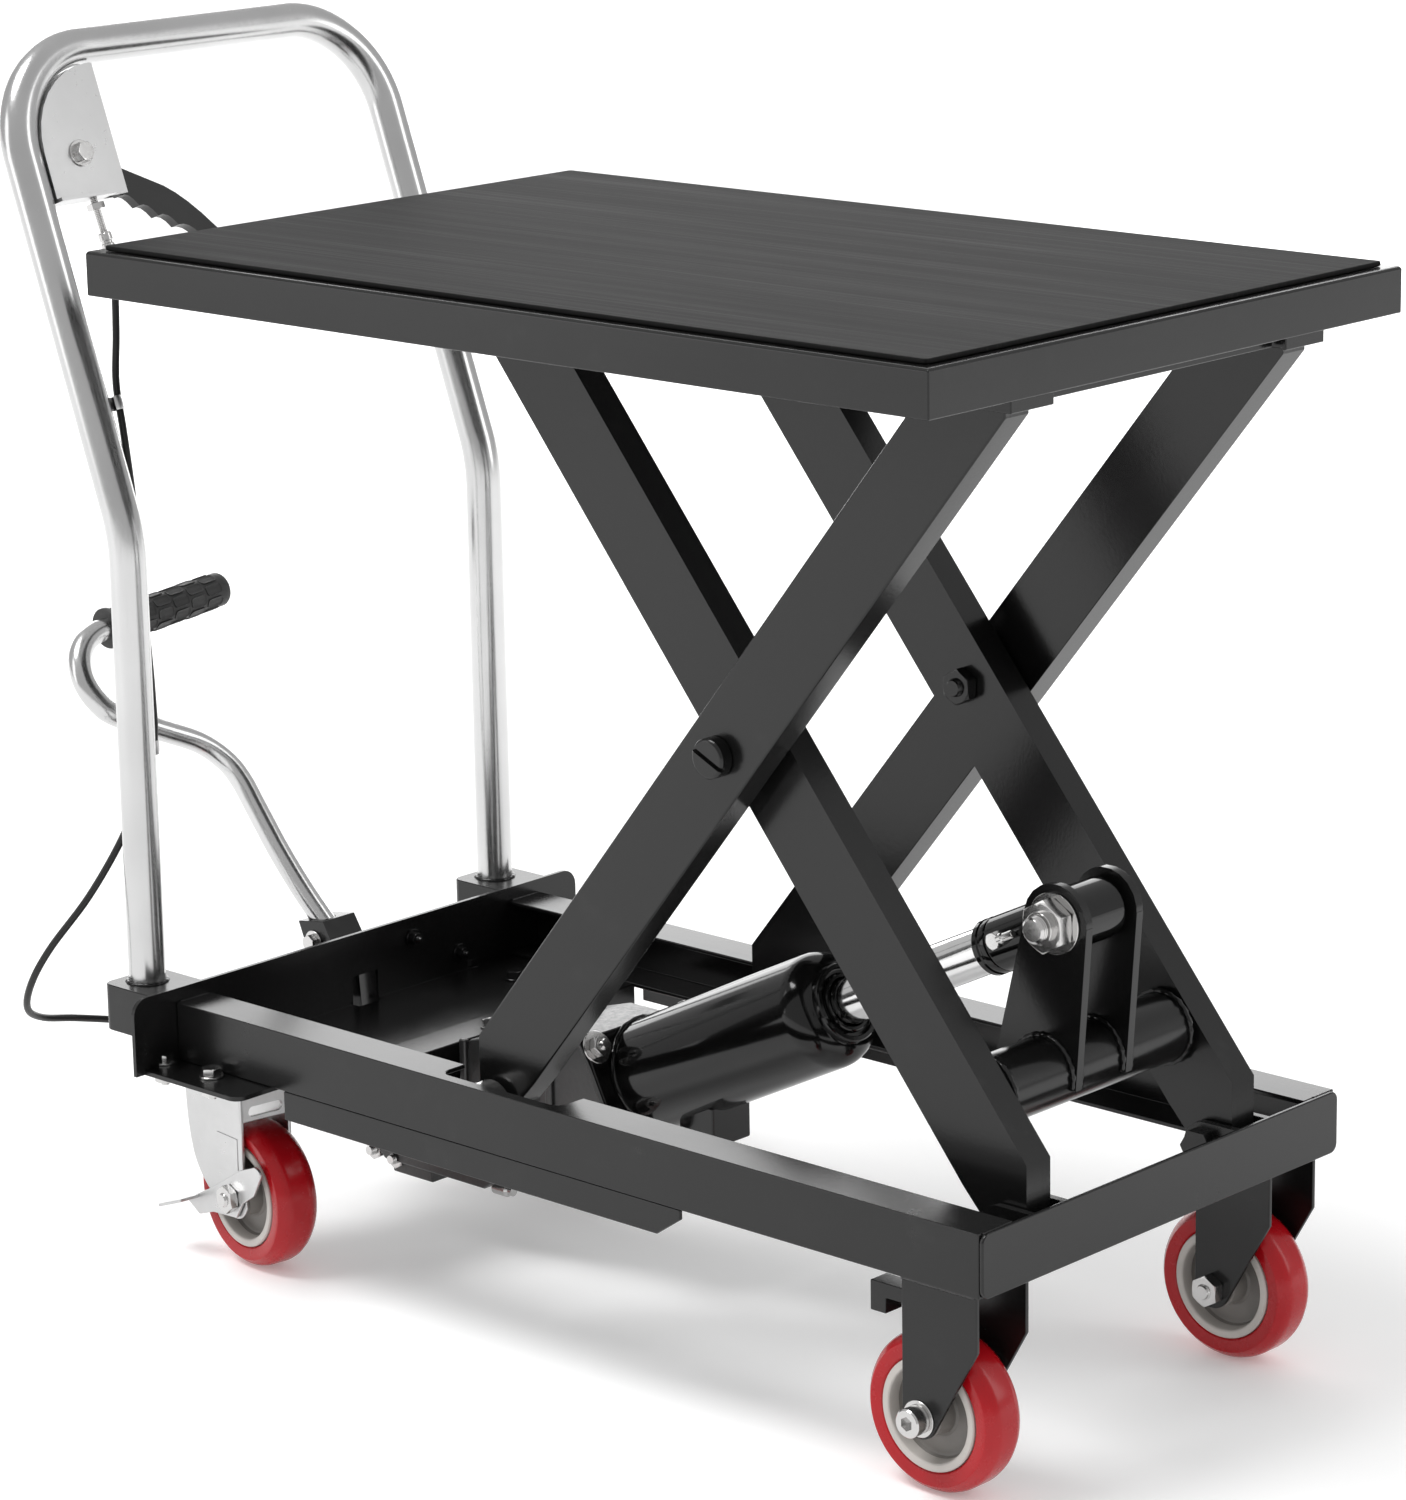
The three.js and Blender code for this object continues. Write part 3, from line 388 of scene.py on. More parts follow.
def slab(outline, nearY, farY, width=0.7, segments=2):
    # a plate whose outline is drawn in (x, z), between two places along Y, with eased edges
    turn = Matrix.Translation((0, farY * mm, 0)) @ Matrix.Rotation(math.radians(90), 4, "X")
    return bevelled(plate(outline, farY - nearY, turn), width, segments)


def bow(start, pull, end, steps=10):
    # points of a soft curve from start to end
    return [((1 - t) ** 2 * start[0] + 2 * t * (1 - t) * pull[0] + t * t * end[0],
             (1 - t) ** 2 * start[1] + 2 * t * (1 - t) * pull[1] + t * t * end[1])
            for t in [i / steps for i in range(steps + 1)]]


def block(low, high, width=1.0, segments=3):
    # a box between two corners, in metres, with eased edges
    low, high = Vector(low), Vector(high)
    bpy.ops.mesh.primitive_cube_add(size=1, location=(low + high) / 2)
    piece = bpy.context.object
    piece.scale = high - low
    bake(piece)
    return bevelled(piece, width, segments, 30)


def arc(x, y, radius, fromAngle, toAngle, steps):
    turns = [math.radians(fromAngle + (toAngle - fromAngle) * i / steps) for i in range(steps + 1)]
    return [(x + radius * math.cos(t), y + radius * math.sin(t)) for t in turns]


def tube(points, radius, resolution=10, radii=None, closed=False):
    # a round bar along points, in metres
    curve = bpy.data.curves.new("route", "CURVE")
    curve.dimensions = "3D"
    curve.bevel_depth = radius
    curve.bevel_resolution = resolution
    curve.use_fill_caps = True
    line = curve.splines.new("POLY")
    line.points.add(len(points) - 1)
    for i, spot in enumerate(points):
        line.points[i].co = (*spot, 1)
        line.points[i].radius = radii[i] if radii else 1
    line.use_cyclic_u = closed
    piece = bpy.data.objects.new("route", curve)
    bpy.context.scene.collection.objects.link(piece)
    only(piece)
    bpy.ops.object.convert(target="MESH")
    return bpy.context.object


def filleted(corners, radii, steps=14):
    # straight runs whose inner corners are rounded to the given radii
    path = [corners[0]]
    for i in range(1, len(corners) - 1):
        corner = corners[i]
        back = (corners[i - 1] - corner).normalized()
        on = (corners[i + 1] - corner).normalized()
        half = back.angle(on) / 2
        radius = radii[i - 1]
        middle = corner + (back + on).normalized() * (radius / math.sin(half))
        start = (corner + back * (radius / math.tan(half)) - middle).normalized()
        end = (corner + on * (radius / math.tan(half)) - middle).normalized()
        path += [middle + start.slerp(end, k / steps) * radius for k in range(steps + 1)]
    return path + [corners[-1]]


def smoothPath(points, steps=8):
    # a soft curve through points
    path = []
    for i in range(len(points) - 1):
        a = points[max(i - 1, 0)]
        b, c = points[i], points[i + 1]
        d = points[min(i + 2, len(points) - 1)]
        for k in range(steps):
            t = k / steps
            path.append(0.5 * ((2 * b) + (c - a) * t + (2 * a - 5 * b + 4 * c - d) * t ** 2
                               + (3 * b - a - 3 * c + d) * t ** 3))
    return path + [points[-1]]


def beadRing(points, radius, swing, rate, closed=True):
    # a weld bead along points, whose width swells and shrinks
    base, depth = swing
    sizes = [base + depth * math.sin(t * rate) for t in range(len(points))]
    return tube(points, radius * mm, 3, sizes, closed=closed)


def weld(name, body, start, end, radius, seed=1):
    # a run of small overlapping beads
    chance = random.Random(seed)
    spacing = 0.28
    count = max(6, int((end - start).length / (radius * mm * spacing)))
    path = [start.lerp(end, i / count) for i in range(count + 1)]
    radii = []
    for i in range(count + 1):
        radii.append(0.86 + 0.16 * abs(math.sin(i * 0.85)) + chance.uniform(-0.05, 0.05))
    piece = tube(path, radius * mm, 3, radii)
    return keep(piece, name, body, "weld", angle=80)


hexRatio = 1 / math.cos(math.pi / 6)


def hexNut(flats, height, bore=0.0):
    # a hexagon along Z with chamfered corners, from 0 to height
    bpy.ops.mesh.primitive_cylinder_add(vertices=6, radius=flats / 2 * hexRatio * mm, depth=height * mm,
                                        location=(0, 0, height / 2 * mm))
    piece = bake(bpy.context.object)
    face = flats / 2 * 0.97
    slope = flats * 0.075
    corner = flats / 2 + slope
    drop = slope * 0.62
    cap = turnedPiece([(face, 0), (corner, drop), (corner, height - drop), (face, height)], 48)
    applyModifier(piece, "BOOLEAN", object=cap, operation="INTERSECT", solver="EXACT")
    bpy.data.objects.remove(cap)
    if bore:
        piece = cutBy(piece, turnedPiece([(bore, -1), (bore, height + 1)], 32))
    return piece


def washer(outer, inner, height):
    edge = 0.3
    profile = [(inner, 0), (outer - edge, 0), (outer, edge), (outer, height - edge), (outer - edge, height),
               (inner, height), (inner, 0)]
    return turnedPiece(profile, 40, ring=True)


def thread(radius, length, pitch=1.25):
    # a threaded end, as rings of crests and roots, with a chamfered tip
    profile = [(radius * 0.9, 0)]
    for i in range(int(length / pitch)):
        profile += [(radius, (i + 0.4) * pitch), (radius, (i + 0.55) * pitch)]
        profile += [(radius * 0.88, (i + 0.95) * pitch)]
    return turnedPiece(profile + [(radius * 0.8, length + 0.6)], 28)


def hexBolt(flats, head, tip=0.0, washerSize=0.0):
    # a hex head on a washer, with the end of its thread standing out of it
    pieces = []
    lift = 0.0
    washerHeight = 1.6
    if washerSize:
        pieces.append(washer(washerSize, flats * 0.3, washerHeight))
        lift = washerHeight
    nut = hexNut(flats, head)
    nut.location.z = lift * mm
    pieces.append(nut)
    if tip:
        end = thread(flats * 0.29, tip)
        end.location.z = (lift + head - 0.5) * mm
        pieces.append(end)
    return joined(pieces)


masters = {}


def fastener(flats, head, tip=0.0, washerSize=0.0):
    # each size is modelled once, then copied
    key = (flats, head, tip, washerSize)
    if key not in masters:
        first = hexBolt(*key)
        masters[key] = first.data.copy()
        bpy.data.objects.remove(first)
    piece = bpy.data.objects.new("fastener", masters[key].copy())
    bpy.context.scene.collection.objects.link(piece)
    return piece


def fasteners(name, body, spots, look="bolt"):
    # spots lists (place in metres, direction, size of the fastener)
    pieces = [point(fastener(*size), start, direction) for start, direction, size in spots]
    return keep(joined(pieces), name, body, look, angle=32)


def at(x, y, z):
    return Vector((x, y, z)) * mm


def mirroredPair(sign, pair):
    # two places along Y, put on one side of the object, the lower first
    return sorted((sign * pair[0], sign * pair[1]))


# base frame

for node in ["front_plate", "rear_member", "cross_member"]:
    refined(node, "frame", 0.9, 3)
for side in sides:
    for node in ["side_rail_", "skirt_plate_", "handle_socket_", "base_pivot_"]:
        refined(node + side, "frame", 0.8, 3)
    refined("caster_plate_" + side, "zinc", 0.6, 2)

rear = {"web": -257.0, "outside": -260.0, "flangeTop": 138.2, "plateUnder": 131.9,
        "boltPlaces": [(46, 173), (91, 152)]}
bolts = []
for y, z in rear["boltPlaces"]:
    bolts.append((at(rear["web"], y, z), (1, 0, 0), (8, 4, 4, 6.5)))
    bolts.append((at(rear["outside"], y, z), (-1, 0, 0), (8, 4, 0, 6.5)))
fasteners("web_bolts", "base", bolts, "frame")

socket = {"x": -294.0, "y": 164.4, "top": 185.0, "bead": 13.3, "seamX": -260.6, "seamY": (142, 186),
          "seamZ": (154.5, 184.2), "seamRadius": 1.5}
seams = {
    "fork_weld_": {"x": (374, 428), "y": (166, 166), "z": 137.6, "radius": 2.8, "seed": 3},
    "fork_weld_inner_": {"x": (376, 427), "y": (117.6, 117.6), "z": 137.6, "radius": 1.7, "seed": 4},
    "front_corner_weld_": {"x": (436.6, 436.6), "y": (150, 169), "z": 177.6, "radius": 1.4, "seed": 5},
    "rear_corner_weld_": {"x": (-256.8, -256.8), "y": (144, 169), "z": 178, "radius": 1.4, "seed": 6},
}
for side, sign in sides.items():
    ring = [at(socket["x"] + x, sign * socket["y"] + y, socket["top"])
            for x, y in arc(0, 0, socket["bead"], 0, 352.5, 47)]
    collar = beadRing(ring, 1.7, (0.9, 0.14), 2.1)
    keep(collar, "socket_weld_" + side, "base", "weld", angle=80)
    for k, z in enumerate(socket["seamZ"]):
        start, end = [at(socket["seamX"], sign * y, z) for y in socket["seamY"]]
        weld(f"socket_seam_{side}_{k}", "base", start, end, socket["seamRadius"], k)
    for name, seam in seams.items():
        start, end = [at(x, sign * y, seam["z"]) for x, y in zip(seam["x"], seam["y"])]
        weld(name + side, "base", start, end, seam["radius"], seam["seed"])
print("base ready")


# front forks

fork = {"x": 385.0, "axle": 50.0, "end": 13.0, "endTurn": 336.6, "back": 13.0, "front": 44.0,
        "slantFrom": 101.0, "top": 138.2, "sheet": 3.0, "legs": [(117, 120), (162, 165)], "cover": (119, 163),
        "hookY": (148, 163),
        "hook": [(346, 127), (346, 108), (358, 108), (358, 118), (373, 118), (373, 127)]}
for side, sign in sides.items():
    x, z = fork["x"], fork["axle"]
    back, front = x - fork["back"], x + fork["front"]
    outline = ([(back, fork["top"])] + arc(x, z, fork["end"], 180, fork["endTurn"], 20)
               + [(front, fork["slantFrom"]), (front, fork["top"])])
    pieces = [slab(outline, *mirroredPair(sign, leg)) for leg in fork["legs"]]
    pieces.append(slab(fork["hook"], *mirroredPair(sign, fork["hookY"])))
    low, high = mirroredPair(sign, fork["cover"])
    pieces.append(block(at(back, low, fork["top"] - fork["sheet"]), at(front, high, fork["top"]), 0.7))
    keep(joined(pieces), "front_fork_folded_" + side, "base", "frame",
         ["front_fork_" + side], 32)


# wheels

wheel = {
    "tyre": [(35.7, -13.8), (36.8, -14.8), (42.6, -15.9), (44.4, -15.6), (47.4, -12.4), (49.2, -9.2),
             (50, -6), (50, 6), (49.2, 9.2), (47.4, 12.4), (44.4, 15.6), (42.6, 15.9), (36.8, 14.8),
             (35.7, 13.8), (35.7, -13.8)],
    "hub": [(14.4, 6.8), (16, 5.6), (26, 4.6), (28, 5.4), (29, 7.6)],
    "lip": [(29, 7.6), (29.6, 13), (30.2, 14.8), (31, 15.4), (34.6, 15.6), (35.3, 14.8)],
    "radius": 50.0, "frontX": 385.0, "halfTrack": 142.0, "bosses": {"front": 19, "rear": 17.3},
}
axleTurn = Matrix.Rotation(math.radians(-90), 4, "X")
tyreMaster = turnedPiece(wheel["tyre"], 80, ring=True)


def bothFaces(inside):
    # the same outline on both faces of a wheel, closed into a ring
    start, height = inside[0]
    profile = [(r, -h) for r, h in inside] + [(r, h) for r, h in reversed(inside)] + [(start, -height)]
    return turnedPiece(profile, 64, ring=True)


def hubPiece(boss):
    # the deep middle of the rim, with a boss of the given half length
    return bothFaces([(6.4, boss), (12.2, boss), (13, boss - 0.8)] + wheel["hub"])


lipMaster = bothFaces(wheel["lip"])
hubs = {end: hubPiece(boss) for end, boss in wheel["bosses"].items()}


def copyOf(master, matrix):
    piece = bpy.data.objects.new(master.name, master.data.copy())
    bpy.context.scene.collection.objects.link(piece)
    piece.matrix_world = matrix
    return bake(piece)


def addWheel(prefix, body, matrix):
    tyre = copyOf(tyreMaster, matrix)
    keep(tyre, prefix + "_tyre_turned", body, "tyre", [prefix + "_tyre"], 30)
    hub = copyOf(hubs[prefix.split("_")[0]], matrix)
    # the hub disc takes the darker grey, painted shade in its deep recess, while the lip keeps the rim grey
    keep(hub, prefix + "_hub_turned", body, "recess_painted_shade", [prefix + "_hub"], 30)
    keep(copyOf(lipMaster, matrix), prefix + "_lip_turned", body, "rim", angle=30)


axle = {"head": [(8.4, 0), (9, 0.6), (9, 9.4), (8.1, 10.4)], "headAt": 166.2, "key": 4.6, "keyDepth": 12.0,
        "keyAt": 11.4, "washer": (11.5, 6.2, 1.2), "washerAt": 165.0,
        "shank": [(5.8, 0), (6, 0.3), (6, 55.7), (5.8, 56)], "shankAt": 112.0, "nut": (18, 8.2, 2, 0),
        "nutAt": 117.0}
caster = {"x": -237.0, "y": 142.5, "trail": 27.0, "turn": 8.0, "boltX": 23.5, "boltY": 39.0, "back": -28.0,
          "front": 38.0, "crown": 124.0, "outerFace": 20.2, "innerFace": 17.6, "plateFace": 20.6,
          "endRadius": 15.0, "sheet": 3.0, "web": 2.6, "webFoot": 103.5, "slot": 3.6, "slotHalf": 10.0,
          "slotZ": 110.5,
          "patch": [(9, 92), (9, 66), (33, 70), (33, 92)], "patchFaces": (20.1, 20.7),
          "axle": [(5.7, 0), (6, 0.4), (6, 57.6), (5.7, 58)], "axleStart": -29.0,
          "race": [(22, 123.2), (24, 124), (25, 125.2), (25, 126.6), (23.8, 127.4), (23.8, 128.2),
                   (25, 129), (25, 130.6), (24, 131.4)],
          "nuts": {"near": (23.2, (17, 6, 1.6, 0)), "far": (-20.3, (16, 5.4, 0, 0))}}
legOutline = ([(caster["front"], caster["crown"] - 1), (caster["back"], caster["crown"] - 1)]
              + bow((caster["back"], caster["crown"] - 1), (caster["back"], 88), (-20, 68))[1:]
              + bow((-20, 68), (-14, 56), (-3, 48))[1:]
              + arc(caster["trail"], 50, caster["endRadius"], 233, 342, 16)
              + [(caster["front"], 64)])
brake = {"cam": ([(-13, 28), (4, 34), (32, 37), (40, 49), (54, 58)] + bow((62, 72), (64, 78), (56, 79), 4)
                 + [(38, 72), (3, 51), (-15, 42), (-27, 35)]), "camWidth": 2.4,
         "tread": [(-13, 42), (-13, 39.6), (-41, 29), (-41, 31.4)], "treadWidth": 17.0}
for side, sign in sides.items():
    frontAt = Matrix.Translation(at(wheel["frontX"], sign * wheel["halfTrack"], wheel["radius"])) @ axleTurn
    addWheel("front_" + side, "front_wheel_" + side, frontAt)
    swivel = (Matrix.Translation(at(caster["x"], sign * caster["y"], 0))
              @ Matrix.Rotation(math.radians(sign * caster["turn"]), 4, "Z"))
    addWheel("rear_" + side, "rear_wheel_" + side,
             swivel @ Matrix.Translation(at(caster["trail"], 0, wheel["radius"])) @ axleTurn)

    # socket screw and nut of the front axle
    axlePlace = {key: at(wheel["frontX"], sign * axle[key + "At"], wheel["radius"])
                 for key in ("head", "washer", "shank", "nut")}
    screw = turnedPiece(axle["head"], 40)
    bpy.ops.mesh.primitive_cylinder_add(vertices=6, radius=axle["key"] * mm, depth=axle["keyDepth"] * mm,
                                        location=at(0, 0, axle["keyAt"]))
    screw = cutBy(screw, bake(bpy.context.object))
    point(screw, axlePlace["head"], (0, sign, 0))
    ring = point(washer(*axle["washer"]), axlePlace["washer"], (0, sign, 0))
    shank = point(turnedPiece(axle["shank"], 24), axlePlace["shank"], (0, sign, 0))
    nut = point(fastener(*axle["nut"]), axlePlace["nut"], (0, -sign, 0))
    keep(joined([screw, ring, shank, nut]), "front_axle_screw_" + side, "base", "bolt",
         ["front_axle_" + side], 32)

    # swivel fork: two pressed legs, the crown and the slotted web ahead of the wheel
    reach, back, front, crown = caster["outerFace"], caster["back"], caster["front"], caster["crown"]
    faces = (caster["innerFace"], reach)
    pieces = [slab(legOutline, *mirroredPair(k, faces)) for k in (-1, 1)]
    pieces.append(block(at(back, -reach, crown - caster["sheet"]), at(front, reach, crown), 1))
    web = block(at(front - caster["web"], -reach, caster["webFoot"]), at(front, reach, crown), 1)
    bpy.ops.mesh.primitive_cylinder_add(vertices=32, radius=caster["slot"] * mm, depth=20 * mm,
                                        rotation=(0, math.pi / 2, 0), location=at(front, 0, caster["slotZ"]))
    tool = bake(bpy.context.object)
    for vertex in tool.data.vertices:
        vertex.co.y += math.copysign(caster["slotHalf"] * mm, vertex.co.y)
    pieces.append(cutBy(web, tool))
    for k in (-1, 1):
        pieces.append(slab(caster["patch"], *mirroredPair(k, caster["patchFaces"]), 0.25))
    bar = turnedPiece(caster["axle"], 32)
    barStart = at(caster["trail"], caster["axleStart"], wheel["radius"])
    bar.matrix_world = Matrix.Translation(barStart) @ axleTurn
    folded = joined(pieces + [bar])
    folded.matrix_world = swivel
    keep(folded, "caster_fork_pressed_" + side, "rear_caster_" + side, "zinc",
         ["caster_fork_" + side], 32)

    face = caster["plateFace"]
    cam = slab(brake["cam"], *mirroredPair(sign, (face, face + brake["camWidth"])), 0.8)
    tread = slab(brake["tread"], *mirroredPair(sign, (face, face + brake["treadWidth"])), 0.8)
    pressed = joined([cam, tread])
    pressed.matrix_world = swivel
    keep(pressed, "brake_lever_" + side, "brake_" + side, "zinc", ["brake_pedal_" + side], 32)
    race = turnedPiece(caster["race"], 64)
    race.matrix_world = swivel
    body = "rear_caster_" + side
    keep(race, "swivel_race_" + side, body, "zinc", angle=30)
    out = (swivel.to_3x3() @ Vector((0, sign, 0))).normalized()
    nearFace, nearNut = caster["nuts"]["near"]
    farFace, farNut = caster["nuts"]["far"]
    fasteners("caster_axle_nuts_" + side, body, [
        (swivel @ at(caster["trail"], sign * nearFace, wheel["radius"]), out, nearNut),
        (swivel @ at(caster["trail"], sign * farFace, wheel["radius"]), -out, farNut),
    ])
    spots, inboard = [], []
    for dx in (-caster["boltX"], caster["boltX"]):
        for dy in (-caster["boltY"], caster["boltY"]):
            x, y = caster["x"] + dx, sign * caster["y"] + dy
            pair = [(at(x, y, rear["flangeTop"]), (0, 0, 1), (12, 5, 0, 8.5)),
                    (at(x, y, rear["plateUnder"]), (0, 0, -1), (12, 5, 2, 8.5))]
            (spots if abs(y) > caster["y"] else inboard).extend(pair)
    fasteners("caster_bolts_" + side, "base", spots)
    fasteners("caster_inner_bolts_" + side, "base", inboard, "frame")
for first in [tyreMaster, lipMaster, *hubs.values()]:
    bpy.data.objects.remove(first)
print("wheels ready")


# scissor arms, pins and rollers

centreAt = at(209.5, 0, 418)
pin = {"head": [(11.4, 0), (12.5, 0.8), (12.5, 8.4), (11.8, 9.4), (10.6, 10)], "headFrom": 140.3,
       "slot": (30, 3, 5), "slotZ": 9.4, "slotTurn": 25.0,
       "bush": [(12.6, 0), (13, 0.4), (13, 6.8), (12.6, 7.2)], "bushFrom": 110.4,
       "shank": [(7.8, 0), (8, 0.3), (8, 61.7), (7.8, 62)], "shankFrom": 80.0,
       "nut": (20.6, 8, 3, 0), "nutFrom": 87.6}
roller = {"lower": 16.7, "upper": 17.0, "half": 10.5, "bore": 8.4, "lowerY": 154.0, "upperY": 122.5}
pivotNut = {"x": 398.5, "z": 668.5, "faces": (146.2, 111.8), "size": (19, 5, 1.6, 0)}


def rollerRing(radius):
    half, bore = roller["half"], roller["bore"]
    edge = [(radius, half - 1.4), (radius - 0.5, half - 0.4), (radius - 1.6, half), (bore, half)]
    return turnedPiece([(r, -h) for r, h in reversed(edge)] + edge + [(bore, -half)], 56, ring=True)


for side, sign in sides.items():
    refined("inner_arm_" + side, "arm", 1.3, 3)
    refined("outer_arm_" + side, "arm", 1.3, 3)

    # slotted pin of the crossing
    head = turnedPiece(pin["head"], 56)
    bpy.ops.mesh.primitive_cube_add(size=1, location=at(0, 0, pin["slotZ"]))
    slotTool = bpy.context.object
    slotTool.scale = at(*pin["slot"])
    slotTool.rotation_euler = (0, 0, math.radians(-pin["slotTurn"]))
    head = cutBy(head, bake(slotTool))
    point(head, centreAt + at(0, sign * pin["headFrom"], 0), (0, sign, 0))
    bush = point(turnedPiece(pin["bush"], 40), centreAt + at(0, sign * pin["bushFrom"], 0), (0, sign, 0))
    shank = point(turnedPiece(pin["shank"], 32), centreAt + at(0, sign * pin["shankFrom"], 0), (0, sign, 0))
    nut = point(fastener(*pin["nut"]), centreAt + at(0, sign * pin["nutFrom"], 0), (0, -sign, 0))
    keep(joined([head, bush, shank, nut]), "crossing_pin_" + side, "inner_arms", "arm",
         ["centre_pin_" + side], 32)

    for level in ("lower", "upper"):
        spot = place(f"{level}_roller_spin_{side}")
        turned = across(rollerRing(roller[level]), spot.x, sign * roller[level + "Y"] * mm, spot.z)
        name = f"{level}_roller_"
        keep(turned, name + "turned_" + side, name + side, "bolt", [name + side], 32)
    refined("top_pivot_" + side, "tray", 0.8, 3)
    outboard, inboard = pivotNut["faces"]
    fasteners("top_pivot_nuts_" + side, "platform", [
        (at(pivotNut["x"], sign * outboard, pivotNut["z"]), (0, sign, 0), pivotNut["size"]),
        (at(pivotNut["x"], sign * inboard, pivotNut["z"]), (0, -sign, 0), pivotNut["size"]),
    ], "frame")
print("arms ready")


# platform

refined("platform_tray", "tray", 1.0, 3)
refined("platform_mat", "mat", 0.9, 3)
refined("tray_bar", "tray", 0.9, 3)
barSeam = {"x": 431.4, "y": (60, 100), "z": 684.6, "radius": 1.8, "seed": 8}
for side, sign in sides.items():
    start, end = [at(barSeam["x"], sign * y, barSeam["z"]) for y in barSeam["y"]]
    weld("tray_bar_weld_" + side, "platform", start, end, barSeam["radius"], barSeam["seed"])
print("platform ready")


# cylinder, rod and clevis

cylinder = {
    "start": (59, -3, 163), "angle": 26.35, "eye": 356.0,
    "shell": [(37, -41), (38, -40), (38, 124), (37.5, 128.6), (36, 132.8), (33.4, 136.6), (29.8, 139.4),
              (26.8, 140.6), (25.8, 141.2), (25.8, 145.8), (25, 146.8), (22.6, 146.8), (22, 146), (22, 144.4),
              (21.2, 144), (19.6, 144), (19, 144.8), (19, 146.4), (18.2, 147), (16.4, 147), (15.7, 146),
              (15.7, -26)],
    "flange": ((-38.5, -52, -46.5), (37.5, 52, -40.5)), "foot": ((59, -21, 112), (89, 15, 140)),
    "beadAt": -39.2, "bead": 38.3, "boltFace": -40.5, "boltUp": (-30, 29), "boltY": (-43, 43),
    "boltSize": (13, 6, 3, 11), "rod": [(13, 102), (15, 104), (15, 344)],
    "eyeRing": [(10.4, 0), (18, 0), (19, 1), (19, 33), (18, 34), (10.4, 34), (10.4, 0)], "eyeFrom": -20.0,
    "collar": [(15.6, 276), (17, 276.4), (17.8, 277.4), (17.8, 280.6), (17, 281.6), (17, 283), (17.8, 284),
               (17.8, 287), (17.2, 288), (17.8, 289.4), (17.8, 341), (17, 343)],
    "bleedFoot": (300, 3, -17.4), "bleedSize": (10, 6, 0, 0), "bleedTip": (303, 3, -20.6),
    "bleedPipe": [(3, 0), (3.4, 0.5), (3.4, 4), (2.6, 5), (2.6, 12), (2, 13)],
}
turnUp = math.radians(cylinder["angle"])
axis = Vector((math.cos(turnUp), 0, math.sin(turnUp)))
above = Vector((-axis.z, 0, axis.x))
cylinderFrame = Matrix((above, Vector((0, -1, 0)), axis)).transposed().to_4x4()
cylinderFrame = Matrix.Translation(at(*cylinder["start"])) @ cylinderFrame


def onAxis(along, up=0.0, y=0.0):
    return at(*cylinder["start"]) + (axis * along + above * up + Vector((0, y, 0))) * mm


def onCylinder(piece):
    piece.matrix_world = cylinderFrame @ piece.matrix_world
    return bake(piece)


shell = onCylinder(turnedPiece(cylinder["shell"], 80))
low, high = cylinder["flange"]
flange = onCylinder(block(at(*low), at(*high), 1.6))
low, high = cylinder["foot"]
foot = block(at(*low), at(*high), 1.5)
keep(joined([shell, flange, foot]), "cylinder_shell", "cylinder_barrel", "barrel",
     ["cylinder_barrel"], 30)
ringPoints = [onAxis(cylinder["beadAt"], up, y) for up, y in arc(0, 0, cylinder["bead"], 0, 354.375, 63)]
keep(beadRing(ringPoints, 2.2, (0.9, 0.15), 1.9), "cylinder_weld", "cylinder_barrel", "weld",
     angle=80)
flangeBolts = [(onAxis(cylinder["boltFace"], up, y), axis, cylinder["boltSize"])
               for up in cylinder["boltUp"] for y in cylinder["boltY"]]
fasteners("flange_bolts", "cylinder_barrel", flangeBolts)

keep(onCylinder(turnedPiece(cylinder["rod"], 64)), "rod_turned", "piston_rod", "rod",
     ["piston_rod"], 30)
eyeAt = onAxis(cylinder["eye"])
eyeRing = turnedPiece(cylinder["eyeRing"], 56, ring=True)
across(eyeRing, eyeAt.x, cylinder["eyeFrom"] * mm, eyeAt.z)
collar = onCylinder(turnedPiece(cylinder["collar"], 64))
keep(joined([eyeRing, collar]), "rod_end", "piston_rod", "barrel", angle=32)
bleedFoot = point(fastener(*cylinder["bleedSize"]), onAxis(*cylinder["bleedFoot"]), (0, -1, 0))
bleedTip = point(turnedPiece(cylinder["bleedPipe"], 24), onAxis(*cylinder["bleedTip"]), axis)
keep(joined([bleedFoot, bleedTip]), "bleed_screw", "piston_rod", "bolt", angle=32)

refined("clevis_tube", "arm", 1.2, 3)
clevis = {"x": 370.0, "z": 227.0, "bead": 22.6, "ears": (-31, -23.2, 17.2, 25), "ends": (-84, 84),
          "bar": [(9.6, 0), (10, 0.4), (10, 72), (9.4, 72.6)], "barFrom": -46.0, "tip": (8.4, 8, 1.6),
          "tipFrom": -43.0, "nut": (29, 11, 0, 19), "nutFrom": -30.2,
          "cap": [(14, 0), (15, 0.8), (15, 6.4), (13.8, 7.6)], "capFrom": 24.4}
beads = []
for places, lastTurn, steps in ((clevis["ears"], 192.6, 39), (clevis["ends"], 336, 59)):
    for y in places:
        ring = [at(x, y, z) for x, z in arc(clevis["x"], clevis["z"], clevis["bead"], -18, lastTurn, steps)]
        beads.append(beadRing(ring, 2.0, (0.95, 0.22), 2.2, places == clevis["ends"]))
keep(joined(beads), "clevis_welds", "inner_arms", "weld", angle=80)
barPin = across(turnedPiece(clevis["bar"], 40), eyeAt.x, clevis["barFrom"] * mm, eyeAt.z)
pinEnd = point(thread(*clevis["tip"]), (eyeAt.x, clevis["tipFrom"] * mm, eyeAt.z), (0, -1, 0))
nut = point(fastener(*clevis["nut"]), (eyeAt.x, clevis["nutFrom"] * mm, eyeAt.z), (0, -1, 0))
cap = across(turnedPiece(clevis["cap"], 48), eyeAt.x, clevis["capFrom"] * mm, eyeAt.z)
keep(joined([barPin, pinEnd, nut, cap]), "clevis_bolt", "inner_arms", "bolt", ["clevis_pin"], 32)
